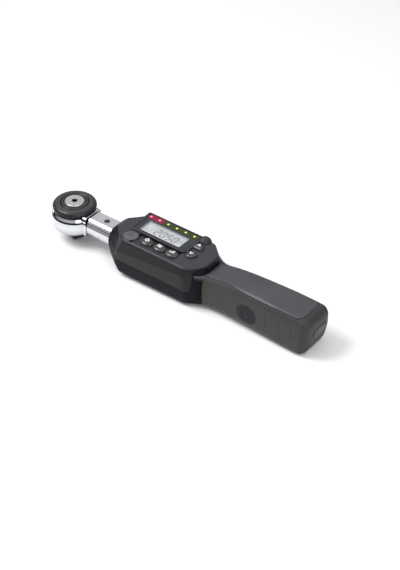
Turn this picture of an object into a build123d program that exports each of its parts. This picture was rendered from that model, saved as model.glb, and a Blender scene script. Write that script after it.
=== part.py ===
from build123d import *

import os
from math import atan2, cos, degrees, pi, radians, sin

# Digital torque wrench, in millimetres.
# Origin: on the square drive's axis, in the plane of the head's underside, where a socket seats.
# +X runs along the wrench to the handle's end, +Z points up out of the display.

# Driving dimensions: ratchet head
DRIVE_SQUARE = 9.53          # 3/8 inch square
DRIVE_DROP = 10.8            # how far the square reaches below the head
DRIVE_TURN = -20.0           # how the square happens to stand, in degrees
DRUM_R = 18.25
DRUM_TOP = 17.0
DRUM_SHOULDER = 13.4         # where the drum starts to taper in under the wheel
POCKET_TOP = 13.6
DRUM_FILLET = 5.0
HEAD_FLOOR = 3.0
BORE_R = 11.75
GEAR_TEETH = 36
GEAR_TIP_R = 11.5
GEAR_DEPTH = 0.85
GEAR_TOP = 9.5
JOURNAL_R = 7.95
STUB_R = 4.95
PAWL_PIVOT_X = 14.2
PAWL_ROCK = 4.5              # degrees each way from the middle
SELECTOR_TURN = 20.0         # degrees each way from the middle
WHEEL_R = 17.0
WHEEL_BOTTOM = 17.4
WHEEL_WIDEST = 19.9
WHEEL_TOP = 22.5
BLOCK_END = 18.7             # the neck block's rear face, short of the shank by a groove
WHEEL_TEETH = 60
HUB_R = 11.6
HUB_BOTTOM = 10.6
PLUNGER_Z = 12.3
BALL_Z = -5.7
CAP_R = 7.7
CAP_BOTTOM = 21.0
CAP_TOP = 23.4

# Driving dimensions: chrome shank and measuring beam
AXIS_Z = 10.1                # centre line of the shank, the beam and the handle frame
SHANK_START = 20.2
SHANK_R = 9.9
SHANK_FLAT = 8.1             # half height over the two flats
SHANK_BORE_R = 7.0
SHANK_END = 61.0
HEAD_PIN_X = 33.1
HEAD_PIN_R = 2.4
BEAM_START = 46.0
BEAM_END = 122.0
BEAM_TONGUE = 6.2
BEAM_SIZE = 12.0
LOAD_PIN_X = 54.0
REAR_PIN_X = 116.0
BEAM_PIN_R = 2.5

# Driving dimensions: housing. Each level is (z, tilt, nose x, nose half width, front x,
# front half width, rear x, rear half width, tail x, tail half width). The tilt, in degrees,
# lifts the level towards the handle, about the place where x is TILT_X.
HOUSING_LEVELS = (
    (-7.6, 0.0, 52.0, 7.5, 62.5, 16.6, 121.0, 16.0, 133.0, 10.0),
    (-5.2, 0.0, 47.0, 9.0, 59.5, 19.5, 123.0, 18.8, 134.5, 11.5),
    (0.0, 0.0, 43.0, 9.5, 57.5, 20.3, 124.0, 19.8, 135.0, 12.0),
    (8.0, 0.0, 41.0, 9.5, 57.5, 21.2, 124.5, 20.8, 135.5, 12.0),
    (15.5, 5.2, 41.0, 8.6, 60.0, 22.0, 122.6, 21.4, 135.0, 10.0),
    (28.6, 0.0, 48.6, 4.4, 65.5, 19.1, 122.8, 18.6, 133.4, 6.4),
)
TILT_X = 62.0
HOUSING_WALL = 2.0
CORNER_R = 6.0
TOP_ROUNDING = 2.3
BELLY_ROUNDING = 1.5
BELLY_Z = -7.6
PANEL_Z = 27.0               # the top, round the display
DISH_Z = 25.2                # deepest floor of the button strip, against the display surround
BEZEL_Z = 28.2               # top of the raised display surround
COVER_SEAM_Z = 7.0
SEAM_GAP = 0.15

# Driving dimensions: display, lamps, buttons and sounder
LENS_X = (62.2, 110.9)
LENS_Y = (-3.9, 17.9)
LENS_THICK = 1.4
LCD_X = (65.4, 103.6)
LCD_Y = (-2.2, 9.9)
LAMP_XS = tuple(64.4 + 8.28 * index for index in range(6))
LAMP_Y = 15.6
LAMP_R = 1.5
RED_LAMPS = 2
BOARD_Z = 17.8
BOARD_THICK = 1.6
BUTTON_XS = (81.3, 93.1, 104.6)
BUTTON_Y = -10.7
BUTTON_SIZE = (10.4, 7.8)
BUTTON_TOP = 28.3
BUTTON_TRAVEL = 0.6
ARROW_PLACES = ((117.2, -3.9), (116.2, 6.9))
ARROW_TOP = 29.2
SOUNDER_XY = (66.6, -11.6)

# Driving dimensions: handle. Each section is (x, half width, top z, bottom z, corner radius).
HANDLE_SECTIONS = (
    (127.0, 19.5, 22.4, -7.2, 6.0),
    (132.0, 16.3, 21.3, -5.2, 6.0),
    (138.0, 14.1, 21.3, -4.7, 6.0),
    (146.0, 13.6, 22.6, -4.4, 6.0),
    (160.0, 13.9, 24.3, -4.4, 6.0),
    (180.0, 14.4, 25.5, -5.3, 6.0),
    (200.0, 15.0, 25.3, -6.1, 6.0),
    (216.0, 15.4, 24.0, -6.7, 6.0),
    (230.0, 15.3, 22.4, -6.4, 6.0),
)
GRIP_THICK = 2.0
GRIP_BOND = 0.04             # the film of adhesive under the rubber
SHELL_WALL = 1.7
GRIP_FRONT = 135.5
GRIP_END = 224.5
SPINE_WIDTHS = ((120.0, 7.6), (140.0, 8.6), (184.0, 11.2), (214.0, 10.4))
SPINE_END = 219.5
CAP_FACE_X = 228.6
CAP_FOOT_X = 221.5           # where the sloping end face meets the underside
BATTERY_R = 5.2              # AAA cell
BATTERY_LENGTH = 44.5
BATTERY_START = 169.5
BATTERY_Z = 8.6
BATTERY_Y = 5.45
PAD_X = 175.5
PAD_Z = 8.2
PAD_SIZE = (15.0, 13.4)
LATCH_SIZE = (15.0, 7.0)
LATCH_Z = 11.6
LATCH_TRAVEL = 1.2
SCREW_PLACES = ((57.8, 13.0), (57.8, -13.0), (124.0, 12.6), (124.0, -12.6))

FIT = 0.05                   # running clearance, on the radius


def cylinder_z(radius, low, high, x=0.0, y=0.0):
    return Pos(x, y, (low + high) / 2) * Cylinder(radius, high - low)


def cylinder_x(radius, low, high, y=0.0, z=0.0):
    return Pos((low + high) / 2, y, z) * Rot(0, 90, 0) * Cylinder(radius, high - low)


def cylinder_y(radius, low, high, x=0.0, z=0.0):
    return Pos(x, (low + high) / 2, z) * Rot(90, 0, 0) * Cylinder(radius, high - low)


def block(x0, x1, y0, y1, z0, z1):
    return Pos((x0 + x1) / 2, (y0 + y1) / 2, (z0 + z1) / 2) * Box(x1 - x0, y1 - y0, z1 - z0)


def turned(points):
    """A solid of revolution about Z from (radius, z) points."""
    return revolve(make_face(Plane.XZ * Polyline(*points, close=True)), Axis.Z)


def about_z(shape, angle, x=0.0, y=0.0):
    """The shape turned by an angle in degrees about a vertical line."""
    return Pos(x, y, 0) * Rot(0, 0, angle) * Pos(-x, -y, 0) * shape


def upright(sketch, low, high):
    """A sketch in the XY plane raised between two heights."""
    return extrude(Pos(0, 0, low) * sketch, high - low)


def sideways(points, half_width, radius=0.0):
    """A closed (x, z) outline, with its corners rounded, extruded across the wrench."""
    face = make_face(Plane.XZ * Polyline(*points, close=True))
    if radius:
        face = fillet(face.vertices(), radius)
    return extrude(face, half_width, both=True)


# Ratchet head


def gear_outline(growth=0.0):
    """The toothed outline of the drive gear, grown evenly for clearance."""
    points = []
    for tooth in range(GEAR_TEETH):
        for half, radius in ((0.0, GEAR_TIP_R), (0.5, GEAR_TIP_R - GEAR_DEPTH)):
            angle = 2 * pi * (tooth + half) / GEAR_TEETH
            points.append(((radius + growth) * cos(angle), (radius + growth) * sin(angle)))
    return make_face(Polyline(*points, close=True))


def drum():
    """The turned head: rounded foot, straight wall and a shoulder that tapers in under the wheel."""
    profile = make_face(Plane.XZ * (
        Polyline((0, 0), (DRUM_R - DRUM_FILLET, 0))
        + RadiusArc((DRUM_R - DRUM_FILLET, 0), (DRUM_R, DRUM_FILLET), -DRUM_FILLET)
        + Polyline((DRUM_R, DRUM_FILLET), (DRUM_R, DRUM_SHOULDER), (DRUM_R - 0.4, DRUM_SHOULDER + 0.7),
                   (DRUM_R - 1.9, DRUM_TOP - 0.9), (DRUM_R - 2.1, DRUM_TOP), (0, DRUM_TOP), (0, 0))))
    return revolve(profile, Axis.Z)


def neck_block():
    section = Plane.YZ * RectangleRounded(18.9, 17.4, 2.4)
    neck = Pos(6.0, 0, AXIS_Z - 0.1) * extrude(section, BLOCK_END - 6.0)
    neck = chamfer(neck.faces().sort_by(Axis.X)[-1].edges(), 0.4)
    return neck - cylinder_z(WHEEL_R + 0.45, DRUM_TOP - 0.1, 26)


def pawl_pocket():
    """The space for the pawl, milled out from the bore, with a narrower mouth above."""
    return block(8.0, 16.7, -8.1, 8.1, HEAD_FLOOR, POCKET_TOP) + block(8.0, 13.0, -7.0, 7.0, HEAD_FLOOR, 26)


def head_body():
    head = drum() + neck_block()
    head += cylinder_x(SHANK_BORE_R - FIT, BLOCK_END - 1, 39.0, z=AXIS_Z)
    head -= cylinder_z(BORE_R, HEAD_FLOOR, 26)
    head -= cylinder_z(JOURNAL_R + FIT, -1, HEAD_FLOOR + 1)
    head -= cylinder_z(12.6, GEAR_TOP + 0.1, GEAR_TOP + 1.0)
    head -= pawl_pocket()
    head -= cylinder_z(1.25 + FIT, 1.0, HEAD_FLOOR + 1, PAWL_PIVOT_X)
    head -= cylinder_z(HEAD_PIN_R, -2, 22, HEAD_PIN_X)
    return head


def drive_gear():
    gear = upright(gear_outline(), HEAD_FLOOR + 0.05, GEAR_TOP)
    gear += cylinder_z(JOURNAL_R, 0, HEAD_FLOOR + 0.1)
    gear += cylinder_z(STUB_R, GEAR_TOP - 1, CAP_BOTTOM)
    square = extrude(RectangleRounded(DRIVE_SQUARE, DRIVE_SQUARE, 1.1), -DRIVE_DROP)
    square = chamfer(square.faces().sort_by(Axis.Z)[0].edges(), 0.8)
    gear += about_z(square - ball_bore(), DRIVE_TURN)
    return gear - cylinder_z(2.55, 9.8, 26)


def ball_bore():
    return cylinder_x(1.65, -DRIVE_SQUARE, -0.4, z=BALL_Z)


def detent_ball():
    return about_z(Pos(-DRIVE_SQUARE / 2 + 0.85, 0, BALL_Z) * Sphere(1.6), DRIVE_TURN)


def coil_ring(radius, wire):
    """One turn of a coil about X, of six-sided wire."""
    section = make_face(Plane.XY * (Pos(0, radius) * RegularPolygon(wire / 2, 6)).wire())
    return revolve(section, Axis.X)


def ring_coil(radius, wire, pitch, turns):
    """A short closed-up coil along X, as one ring for each turn."""
    return [Pos(pitch * turn, 0, 0) * coil_ring(radius, wire) for turn in range(turns)]


def detent_spring():
    coil = Compound(children=ring_coil(1.05, 0.4, 0.42, 3))
    return about_z(Pos(-1.5, 0, BALL_Z) * coil, DRIVE_TURN)


def gear_retainer():
    """An open snap ring in the groove above the gear."""
    ring = cylinder_z(12.5, GEAR_TOP + 0.15, GEAR_TOP + 0.95) - cylinder_z(10.9, 0, 20)
    return ring - block(6.5, 20, -12, 12, 0, 20)


def pawl():
    """The double-ended pawl, rocked so that its +Y end is in mesh."""
    half = [(8.9, 5.9), (11.7, 7.3), (16.1, 2.6)]
    mirrored = [(x, -y) for x, y in reversed(half)]
    outline = make_face(Polyline(*half, *mirrored, close=True))
    body = upright(outline, HEAD_FLOOR + 0.15, POCKET_TOP - 0.4)
    body -= block(0, 12.1, -2.6, 2.6, 0, 20)
    for side in (1, -1):
        gear = upright(gear_outline(0.08), 0, GEAR_TOP + 0.35)
        body -= about_z(gear, -side * PAWL_ROCK, PAWL_PIVOT_X)
        hub = cylinder_z(HUB_R + 1.15, GEAR_TOP + 0.3, 20)
        body -= about_z(hub, -side * PAWL_ROCK, PAWL_PIVOT_X)
    body -= cylinder_z(1.25 + FIT, 0, 20, PAWL_PIVOT_X)
    return about_z(body, PAWL_ROCK, PAWL_PIVOT_X)


def pawl_pin():
    return cylinder_z(1.25, 1.0, POCKET_TOP - 0.4, PAWL_PIVOT_X)


def wheel_profile():
    """The wheel's turned form: hub, rounded rim and two shallow rings in its top."""
    seat = CAP_BOTTOM - 0.1
    outline = Plane.XZ * (
        Polyline((STUB_R + FIT, HUB_BOTTOM), (HUB_R, HUB_BOTTOM), (HUB_R, WHEEL_BOTTOM),
                 (WHEEL_R - 1.6, WHEEL_BOTTOM), (WHEEL_R, WHEEL_BOTTOM + 1.1), (WHEEL_R, WHEEL_WIDEST))
        + ThreePointArc((WHEEL_R, WHEEL_WIDEST), (WHEEL_R - 1.1, WHEEL_WIDEST + 1.7), (WHEEL_R - 3.4, WHEEL_TOP - 0.2))
        + Polyline((WHEEL_R - 3.4, WHEEL_TOP - 0.2), (11.5, WHEEL_TOP), (10.9, WHEEL_TOP - 0.5),
                   (10.3, WHEEL_TOP + 0.05), (9.1, WHEEL_TOP + 0.15), (8.6, WHEEL_TOP - 0.4),
                   (CAP_R + 0.1, WHEEL_TOP - 0.2), (CAP_R + 0.1, seat), (STUB_R + FIT, seat),
                   (STUB_R + FIT, HUB_BOTTOM)))
    return revolve(make_face(outline), Axis.Z)


def knurl_cutters():
    """A star of V grooves round the wheel's rim, left over when the toothed prism is taken away."""
    points = []
    for tooth in range(WHEEL_TEETH):
        for part, radius in ((0.0, WHEEL_R + 0.1), (0.45, WHEEL_R + 0.1), (0.72, WHEEL_R - 0.6)):
            angle = 2 * pi * (tooth + part) / WHEEL_TEETH
            points.append((radius * cos(angle), radius * sin(angle)))
    star = make_face(Polyline(*points, close=True))
    ring = cylinder_z(WHEEL_R + 2, WHEEL_BOTTOM - 1, WHEEL_WIDEST + 1.7)
    return ring - upright(star, WHEEL_BOTTOM - 2, WHEEL_WIDEST + 3)


def selector_wheel():
    wheel = wheel_profile() - knurl_cutters()
    hole = cylinder_x(1.25, 6.6, HUB_R + 1, z=PLUNGER_Z)
    return wheel - about_z(hole, -SELECTOR_TURN)


def selector_plunger():
    """The spring-loaded pin in the wheel's hub that tips the pawl."""
    pin = cylinder_x(1.2, 8.6, 11.5, z=PLUNGER_Z) + Pos(11.5, 0, PLUNGER_Z) * Sphere(1.2)
    pin -= block(12.45, 14, -2, 2, 0, 20)
    return about_z(pin, -SELECTOR_TURN)


def selector_spring():
    coil = Pos(6.9, 0, PLUNGER_Z) * Compound(children=ring_coil(0.85, 0.4, 0.45, 3))
    return about_z(coil, -SELECTOR_TURN)


def lobed_recess(size, lobes=6):
    """A six-lobed socket outline, size measured over opposite lobes."""
    shape = Circle(size * 0.36)
    for lobe in range(lobes):
        angle = 2 * pi * lobe / lobes
        shape += Pos(size * 0.4 * cos(angle), size * 0.4 * sin(angle)) * Circle(size * 0.1)
        shape += Rot(0, 0, degrees(angle)) * Pos(size * 0.2, 0) * Rectangle(size * 0.4, size * 0.17)
    return shape


def cap_screw():
    """The flat-headed screw that holds the wheel down on the drive."""
    head = cylinder_z(CAP_R, CAP_BOTTOM, CAP_TOP)
    head = chamfer(head.edges().sort_by(Axis.Z)[-1], 0.45)
    screw = head + cylinder_z(2.5, 11.5, CAP_BOTTOM + 0.5)
    return screw - upright(lobed_recess(5.6), CAP_TOP - 2.2, CAP_TOP + 1)


# Shank and measuring beam


def shank_section(growth=0.0):
    round_part = Circle(SHANK_R + growth)
    return round_part & Rectangle(3 * SHANK_R, 2 * (SHANK_FLAT + growth))


def shank_solid(x0, x1, growth=0.0):
    return Pos(x0, 0, AXIS_Z) * extrude(Plane.YZ * shank_section(growth), x1 - x0)


def shank_tube():
    shank = shank_solid(SHANK_START, SHANK_END)
    shank -= cylinder_x(SHANK_BORE_R, SHANK_START - 1, 40.0, z=AXIS_Z)
    half = BEAM_TONGUE / 2 + 0.05
    shank -= block(BEAM_START - 0.5, SHANK_END + 1, -half, half, -2, 24)
    shank -= cylinder_z(HEAD_PIN_R, -2, 24, HEAD_PIN_X)
    shank -= cylinder_y(BEAM_PIN_R, -12, 12, LOAD_PIN_X, AXIS_Z)
    return shank


def head_pin():
    """The locking pin that keeps the head in the shank, sunk a little below both flats."""
    low = AXIS_Z - SHANK_FLAT + 0.8
    high = AXIS_Z + SHANK_FLAT - 0.8
    return chamfer(cylinder_z(HEAD_PIN_R - 0.02, low, high, HEAD_PIN_X).edges(), 0.4)


def cross_pin(x, half_length):
    return chamfer(cylinder_y(BEAM_PIN_R - 0.02, -half_length, half_length, x, AXIS_Z).edges(), 0.4)


def strain_beam():
    """A measuring beam with a tongue at each end and two round windows that thin its skins."""
    tongue = BEAM_TONGUE / 2
    half = BEAM_SIZE / 2
    beam = block(BEAM_START, BEAM_END, -tongue, tongue, AXIS_Z - half, AXIS_Z + half)
    beam += block(SHANK_END + 1.0, 108.0, -half, half, AXIS_Z - half, AXIS_Z + half)
    for x in (78.0, 90.0):
        beam -= cylinder_y(4.6, -10, 10, x, AXIS_Z)
    beam -= block(78.0, 90.0, -10, 10, AXIS_Z - 1.2, AXIS_Z + 1.2)
    for x in (LOAD_PIN_X, REAR_PIN_X):
        beam -= cylinder_y(BEAM_PIN_R, -10, 10, x, AXIS_Z)
    return beam


def strain_gauges():
    """Four foil gauges, over the beam's thin places."""
    foils = []
    for x in (78.0, 90.0):
        for side in (1, -1):
            z = AXIS_Z + side * (BEAM_SIZE / 2 + 0.15)
            foils.append(block(x - 3.0, x + 3.0, -2.0, 2.0, z - 0.15, z + 0.15))
    return Compound(children=foils)


def handle_frame():
    """The bar that carries the load from the beam into the handle."""
    frame = block(110.0, 163.0, -7.0, 7.0, AXIS_Z - 5.5, AXIS_Z + 5.5)
    half = BEAM_TONGUE / 2 + 0.05
    frame -= block(109.0, BEAM_END + 0.5, -half, half, 0, 20)
    frame -= cylinder_y(BEAM_PIN_R, -10, 10, REAR_PIN_X, AXIS_Z)
    for x in (146.0, 157.0):
        frame -= cylinder_z(1.5, 0, 20, x)
    return frame


# Housing


def housing_outline(level, inset):
    z, tilt, nose_x, nose_y, front_x, front_y, rear_x, rear_y, tail_x, tail_y = level
    points = [(nose_x + inset, nose_y), (front_x, front_y - inset), (rear_x, rear_y - inset),
              (tail_x - inset, tail_y)]
    points += [(x, -y) for x, y in reversed(points)]
    face = fillet(make_face(Polyline(*points, close=True)).vertices(), CORNER_R - inset)
    return Pos(TILT_X, 0, z) * Rot(0, -tilt, 0) * Pos(-TILT_X, 0, 0) * face


def housing_form(inset=0.0):
    """The outer form of the body, lofted up through its levels."""
    return loft([housing_outline(level, inset) for level in HOUSING_LEVELS], ruled=True)


def top_line(inset=0.0):
    """The side profile that trims the form: belly, nose slope and flat top."""
    floor = BELLY_Z + inset if inset > 0 else BELLY_Z - 4
    top = PANEL_Z - inset
    points = [(36, floor), (36, 18.2 - inset), (41.5, 19.4 - inset), (48.3, 23.9 - inset), (63.0, top),
              (140, top), (140, floor)]
    return sideways(points, 30)


def hood_outline(inset=0.0):
    """Plan of the raised display surround, scalloped round the three buttons."""
    near = -5.4 + inset
    points = [(59.6 + inset, 19.4 - inset), (61.2 + inset, near), (110.0, near), (112.8 - inset, -3.0 + inset),
              (112.2 - inset, 19.4 - inset)]
    hood = fillet(make_face(Polyline(*points, close=True)).vertices(), 1.6)
    for x in BUTTON_XS:
        hood -= button_outline(x, 1.0 + inset)
    return hood


def dish_cutter():
    """The shallow dish in which the three buttons stand, deepest against the display surround."""
    floor = make_face(Plane.YZ * Polyline((-19.0, PANEL_Z + 2), (-19.0, PANEL_Z), (-14.0, DISH_Z + 0.7),
                                          (-5.0, DISH_Z), (-2.0, DISH_Z), (-2.0, PANEL_Z + 2), close=True))
    return Pos(71.0, 0, 0) * extrude(floor, 39.5)


def corner_boss(inset=0.0):
    """The rounded rise at the display's rear corner."""
    return Pos(114.4, 16.8, 24.8) * Sphere(5.6 - inset)


def body_form(inset=0.0):
    """The body's moulded form, with its top trimmed and the display surround raised."""
    form = housing_form(inset) & top_line(inset)
    if inset <= 0:
        form = fillet(form.faces().sort_by(Axis.Z)[-1].edges(), TOP_ROUNDING)
        form = fillet(form.faces().sort_by(Axis.Z)[0].edges(), BELLY_ROUNDING)
    form -= Pos(0, 0, -inset) * dish_cutter()
    hood = upright(hood_outline(inset), 20.0, BEZEL_Z - inset)
    if inset <= 0:
        hood = fillet(hood.faces().sort_by(Axis.Z)[-1].edges(), 0.5)
    return form + hood + corner_boss(inset)


def cover_region(gap=0.0):
    """The saddle-shaped part of the body that belongs to the upper cover."""
    plan = [(46.6 + gap, 3.2), (57.6 + gap, 16.0), (58.2 + gap, 30.0), (127.4 - gap, 30.0),
            (128.0 - gap, 15.4), (134.6 - gap, 5.6)]
    plan += [(x, -y) for x, y in reversed(plan)]
    region = upright(make_face(Polyline(*plan, close=True)), COVER_SEAM_Z + gap, 40)
    low = [edge for edge in region.edges().filter_by(GeomType.LINE) if edge.center().Z < COVER_SEAM_Z + 0.5
           and 57 < edge.center().X < 130 and abs(edge.center().Y) < 29 and abs(edge.tangent_at(0.5).X) < 0.3]
    return fillet(low, 3.0)


def arrow_outline(place, growth=0.0):
    """A rounded triangle that points along its own side of the tail panel."""
    x, y = place
    up = 1 if y > 0 else -1
    points = [(-4.4, -3.1 * up), (4.9, -2.9 * up), (1.6, 3.7 * up), (-2.8, 3.4 * up)]
    face = fillet(make_face(Polyline(*points, close=True)).vertices(), 1.7)
    if growth:
        face = offset(face, growth)
    return Pos(x, y) * face


def button_outline(x, growth=0.0):
    return Pos(x, BUTTON_Y) * Ellipse(BUTTON_SIZE[0] / 2 + growth, BUTTON_SIZE[1] / 2 + growth)


def screw_post(place, low, high, outer, inner):
    x, y = place
    return cylinder_z(outer, low, high, x, y) - cylinder_z(inner, low - 1, high + 1, x, y)


def housing_cover():
    """The upper cover, with openings for the lens, the buttons, the sounder and the lamps."""
    cover = (body_form() & cover_region(SEAM_GAP)) - body_form(HOUSING_WALL)
    inner = body_form(HOUSING_WALL - 0.5)
    for place in SCREW_PLACES:
        cover += screw_post(place, COVER_SEAM_Z + 3.0, 30.0, 2.6, 1.1) & inner & cover_region(SEAM_GAP)
    lens_z = BEZEL_Z - LENS_THICK - 0.1
    cover -= block(LENS_X[0] - 0.1, LENS_X[1] + 0.1, LENS_Y[0] - 0.1, LENS_Y[1] + 0.1, lens_z, 34)
    cover -= block(LENS_X[0] + 1.2, LENS_X[1] - 1.2, LENS_Y[0] + 1.2, LENS_Y[1] - 0.6, 20, 34)
    for x in BUTTON_XS:
        cover -= upright(button_outline(x, 0.2), 20, 34)
    for place in ARROW_PLACES:
        cover -= upright(arrow_outline(place, 0.2), 20, 34)
    x, y = SOUNDER_XY
    cover -= cylinder_z(5.9, PANEL_Z - 0.9, 34, x, y)
    cover -= cylinder_z(3.6, 20, 34, x, y)
    cover -= cylinder_z(1.25, 20, 34, x + 4.6, y - 5.6)
    return cover - frame_opening()


def housing_lower():
    """Nose, belly and tail in one moulding, open upwards under the cover."""
    lower = body_form() - cover_region() - body_form(HOUSING_WALL)
    inner = body_form(HOUSING_WALL - 0.5)
    for place in SCREW_PLACES:
        lower += screw_post(place, BELLY_Z + 1, COVER_SEAM_Z + 2.8, 2.9, 1.5) & inner
    for x, y in SCREW_PLACES:
        lower -= cylinder_z(1.5, -12, COVER_SEAM_Z + 3, x, y)
        lower -= cylinder_z(2.6, -12, BELLY_Z + 2.6, x, y)
    lower -= shank_solid(36.0, 52.0, 0.35)
    lower -= shank_solid(43.5, 45.5, 1.7)
    return lower - frame_opening()


def frame_opening():
    return block(126.0, 145.0, -7.6, 7.6, AXIS_Z - 6.1, AXIS_Z + 6.1)


def nose_seal():
    """The rubber ring between the shank and the nose."""
    return shank_solid(43.6, 45.4, 1.6) - shank_solid(43.0, 46.0, 0.02)


def housing_screws():
    screws = []
    for x, y in SCREW_PLACES:
        screw = cylinder_z(1.05, BELLY_Z + 2.6, 19.0, x, y) + cylinder_z(2.4, BELLY_Z + 0.8, BELLY_Z + 2.6, x, y)
        screws.append(screw - upright(Pos(x, y) * lobed_recess(2.2), BELLY_Z - 1, BELLY_Z + 1.8))
    return Compound(children=screws)


def display_window():
    """The clear lens over the display and the row of lamps."""
    top = BEZEL_Z - 0.15
    lens = block(LENS_X[0], LENS_X[1], LENS_Y[0], LENS_Y[1], top - LENS_THICK + 0.05, top)
    return fillet(lens.edges().filter_by(Axis.Z), 1.2)


def lcd_module():
    return block(LCD_X[0] - 2, LCD_X[1] + 2, LCD_Y[0] - 0.4, LCD_Y[1] + 2.6, 23.6, 26.2)


def lcd_holder():
    """The frame that stands the display off the board."""
    low = BOARD_Z + BOARD_THICK
    outer = block(LCD_X[0] - 2, LCD_X[1] + 2, LCD_Y[0] - 0.4, LCD_Y[1] + 2.6, low, 23.6)
    return outer - block(LCD_X[0] + 0.5, LCD_X[1] - 0.5, LCD_Y[0] + 1.2, LCD_Y[1] - 0.6, low + 0.8, 24)


def lamps(red):
    """Round indicator lamps on the board, the red ones nearest the head."""
    bulbs = []
    for index, x in enumerate(LAMP_XS):
        if (index < RED_LAMPS) == red:
            low = BOARD_Z + BOARD_THICK
            bulb = cylinder_z(LAMP_R + 0.3, low, low + 1.0, x, LAMP_Y)
            bulb += cylinder_z(LAMP_R, low, 24.7, x, LAMP_Y) + Pos(x, LAMP_Y, 24.7) * Sphere(LAMP_R)
            bulbs.append(bulb)
    return Compound(children=bulbs)


def circuit_board():
    outline = make_face(Polyline((61.8, -14.5), (120.5, -14.5), (120.5, 14.0), (110.0, 17.4), (61.8, 17.4),
                                 close=True))
    board = upright(outline, BOARD_Z, BOARD_Z + BOARD_THICK)
    chip = block(84.0, 94.0, -4.0, 6.0, BOARD_Z - 1.0, BOARD_Z)
    coil = block(100.0, 106.0, -8.0, -2.0, BOARD_Z - 1.0, BOARD_Z)
    return board + chip + coil


def keypad():
    """The rubber mat with a dome under each button."""
    low = BOARD_Z + BOARD_THICK
    mat = block(74.5, 110.5, -14.4, -6.4, low, low + 0.6)
    for x in BUTTON_XS:
        mat += turned_dome(x, BUTTON_Y, low, 1.3)
    tail_mat = block(111.2, 120.3, -8.6, 12.2, low, low + 0.6)
    for x, y in ARROW_PLACES:
        tail_mat += turned_dome(x, y, low, 1.3)
    return Compound(children=[mat, tail_mat])


def turned_dome(x, y, low, height):
    return Pos(x, y, 0) * turned([(0, low), (2.6, low), (2.0, low + height), (0, low + height)])


def button(outline, outline_flange, top, panel):
    """A key cap: crowned top through the panel, flange and foot under it."""
    cap = upright(outline, panel - HOUSING_WALL - 1.2, top)
    cap = fillet(cap.faces().sort_by(Axis.Z)[-1].edges(), 1.1)
    flange = upright(outline_flange, panel - HOUSING_WALL - 1.2, panel - HOUSING_WALL - 0.3)
    return cap + flange


def push_button(index):
    x = BUTTON_XS[index]
    flange = Pos(x, BUTTON_Y) * Ellipse(BUTTON_SIZE[0] / 2 + 0.45, BUTTON_SIZE[1] / 2 + 0.45)
    low = BOARD_Z + BOARD_THICK + 1.35 + BUTTON_TRAVEL
    foot = cylinder_z(1.6, low, DISH_Z - HOUSING_WALL - 1.0, x, BUTTON_Y)
    return button(button_outline(x), flange, BUTTON_TOP, DISH_Z) + foot


def arrow_button(index):
    place = ARROW_PLACES[index]
    low = BOARD_Z + BOARD_THICK + 1.35 + BUTTON_TRAVEL
    foot = cylinder_z(1.6, low, PANEL_Z - HOUSING_WALL - 1.0, *place)
    return button(arrow_outline(place), arrow_outline(place, 0.45), ARROW_TOP, PANEL_Z) + foot


def sounder():
    """The buzzer can on the board."""
    x, y = SOUNDER_XY
    return cylinder_z(4.6, BOARD_Z + BOARD_THICK, 22.2, x + 1.2, y + 1.2)


def sounder_cover():
    """The round cap with three sound holes in its shallow dome."""
    x, y = SOUNDER_XY
    dome = Pos(x, y, 0) * revolve(make_face(Plane.XZ * (
        Polyline((0, PANEL_Z + 0.7), (0, PANEL_Z - 0.85), (5.8, PANEL_Z - 0.85), (5.8, PANEL_Z))
        + ThreePointArc((5.8, PANEL_Z), (3.2, PANEL_Z + 0.55), (0, PANEL_Z + 0.7)))), Axis.Z)
    for index in range(3):
        angle = radians(90 + 120 * index)
        dome -= cylinder_z(0.5, 20, 30, x + 1.5 * cos(angle), y + 1.5 * sin(angle))
    return dome


# Handle


def handle_section(section, inset):
    x, half, top, bottom, corner = section
    width = 2 * (half - inset)
    height = top - bottom - 2 * inset
    outline = RectangleRounded(width, height, max(corner - inset, 2.0))
    return Pos(x, 0, (top + bottom) / 2) * (Plane.YZ * outline)


def end_slope(inset=0.0):
    """The side profile that slopes and rounds the handle's rear end."""
    face_x = CAP_FACE_X - inset
    foot_x = CAP_FOOT_X - inset
    points = [(110, -20), (foot_x - 2.0, -20), (foot_x, -6.4), (face_x - 2.4, 2.0), (face_x, 12.0),
              (face_x - 0.8, 40), (110, 40)]
    face = make_face(Plane.XZ * Polyline(*points, close=True))
    plan = make_face(Polyline((110, -15.8), (face_x, -15.8), (face_x, 15.8), (110, 15.8), close=True))
    plan = fillet(plan.vertices().sort_by(Axis.X)[-2:], 6.5)
    return extrude(face, 30, both=True) & upright(plan, -25, 45)


def handle_form(inset=0.0):
    """The swelling grip form, lofted along the wrench and sloped at its end."""
    return loft([handle_section(section, inset) for section in HANDLE_SECTIONS])


def spine_region(gap=0.0):
    """The strip along the top, and the full ring behind the body, that stay hard plastic."""
    near = [(x, width + gap) for x, width in SPINE_WIDTHS]
    end_x = SPINE_END + gap
    side = Spline(*near, tangents=((1, 0.05), (1, -0.03)))
    other = mirror(side, Plane.XZ)
    tip = ThreePointArc(side @ 1, (end_x - 1.4, (side @ 1).Y - 1.6), (end_x, (side @ 1).Y - 5.2))
    other_tip = mirror(tip, Plane.XZ)
    outline = side + tip + Line(tip @ 1, other_tip @ 1) + other_tip + other + Line(side @ 0, other @ 0)
    region = upright(make_face(outline), AXIS_Z + 2, 40)
    return region + block(110, GRIP_FRONT + gap, -30, 30, -15, 40)


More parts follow.
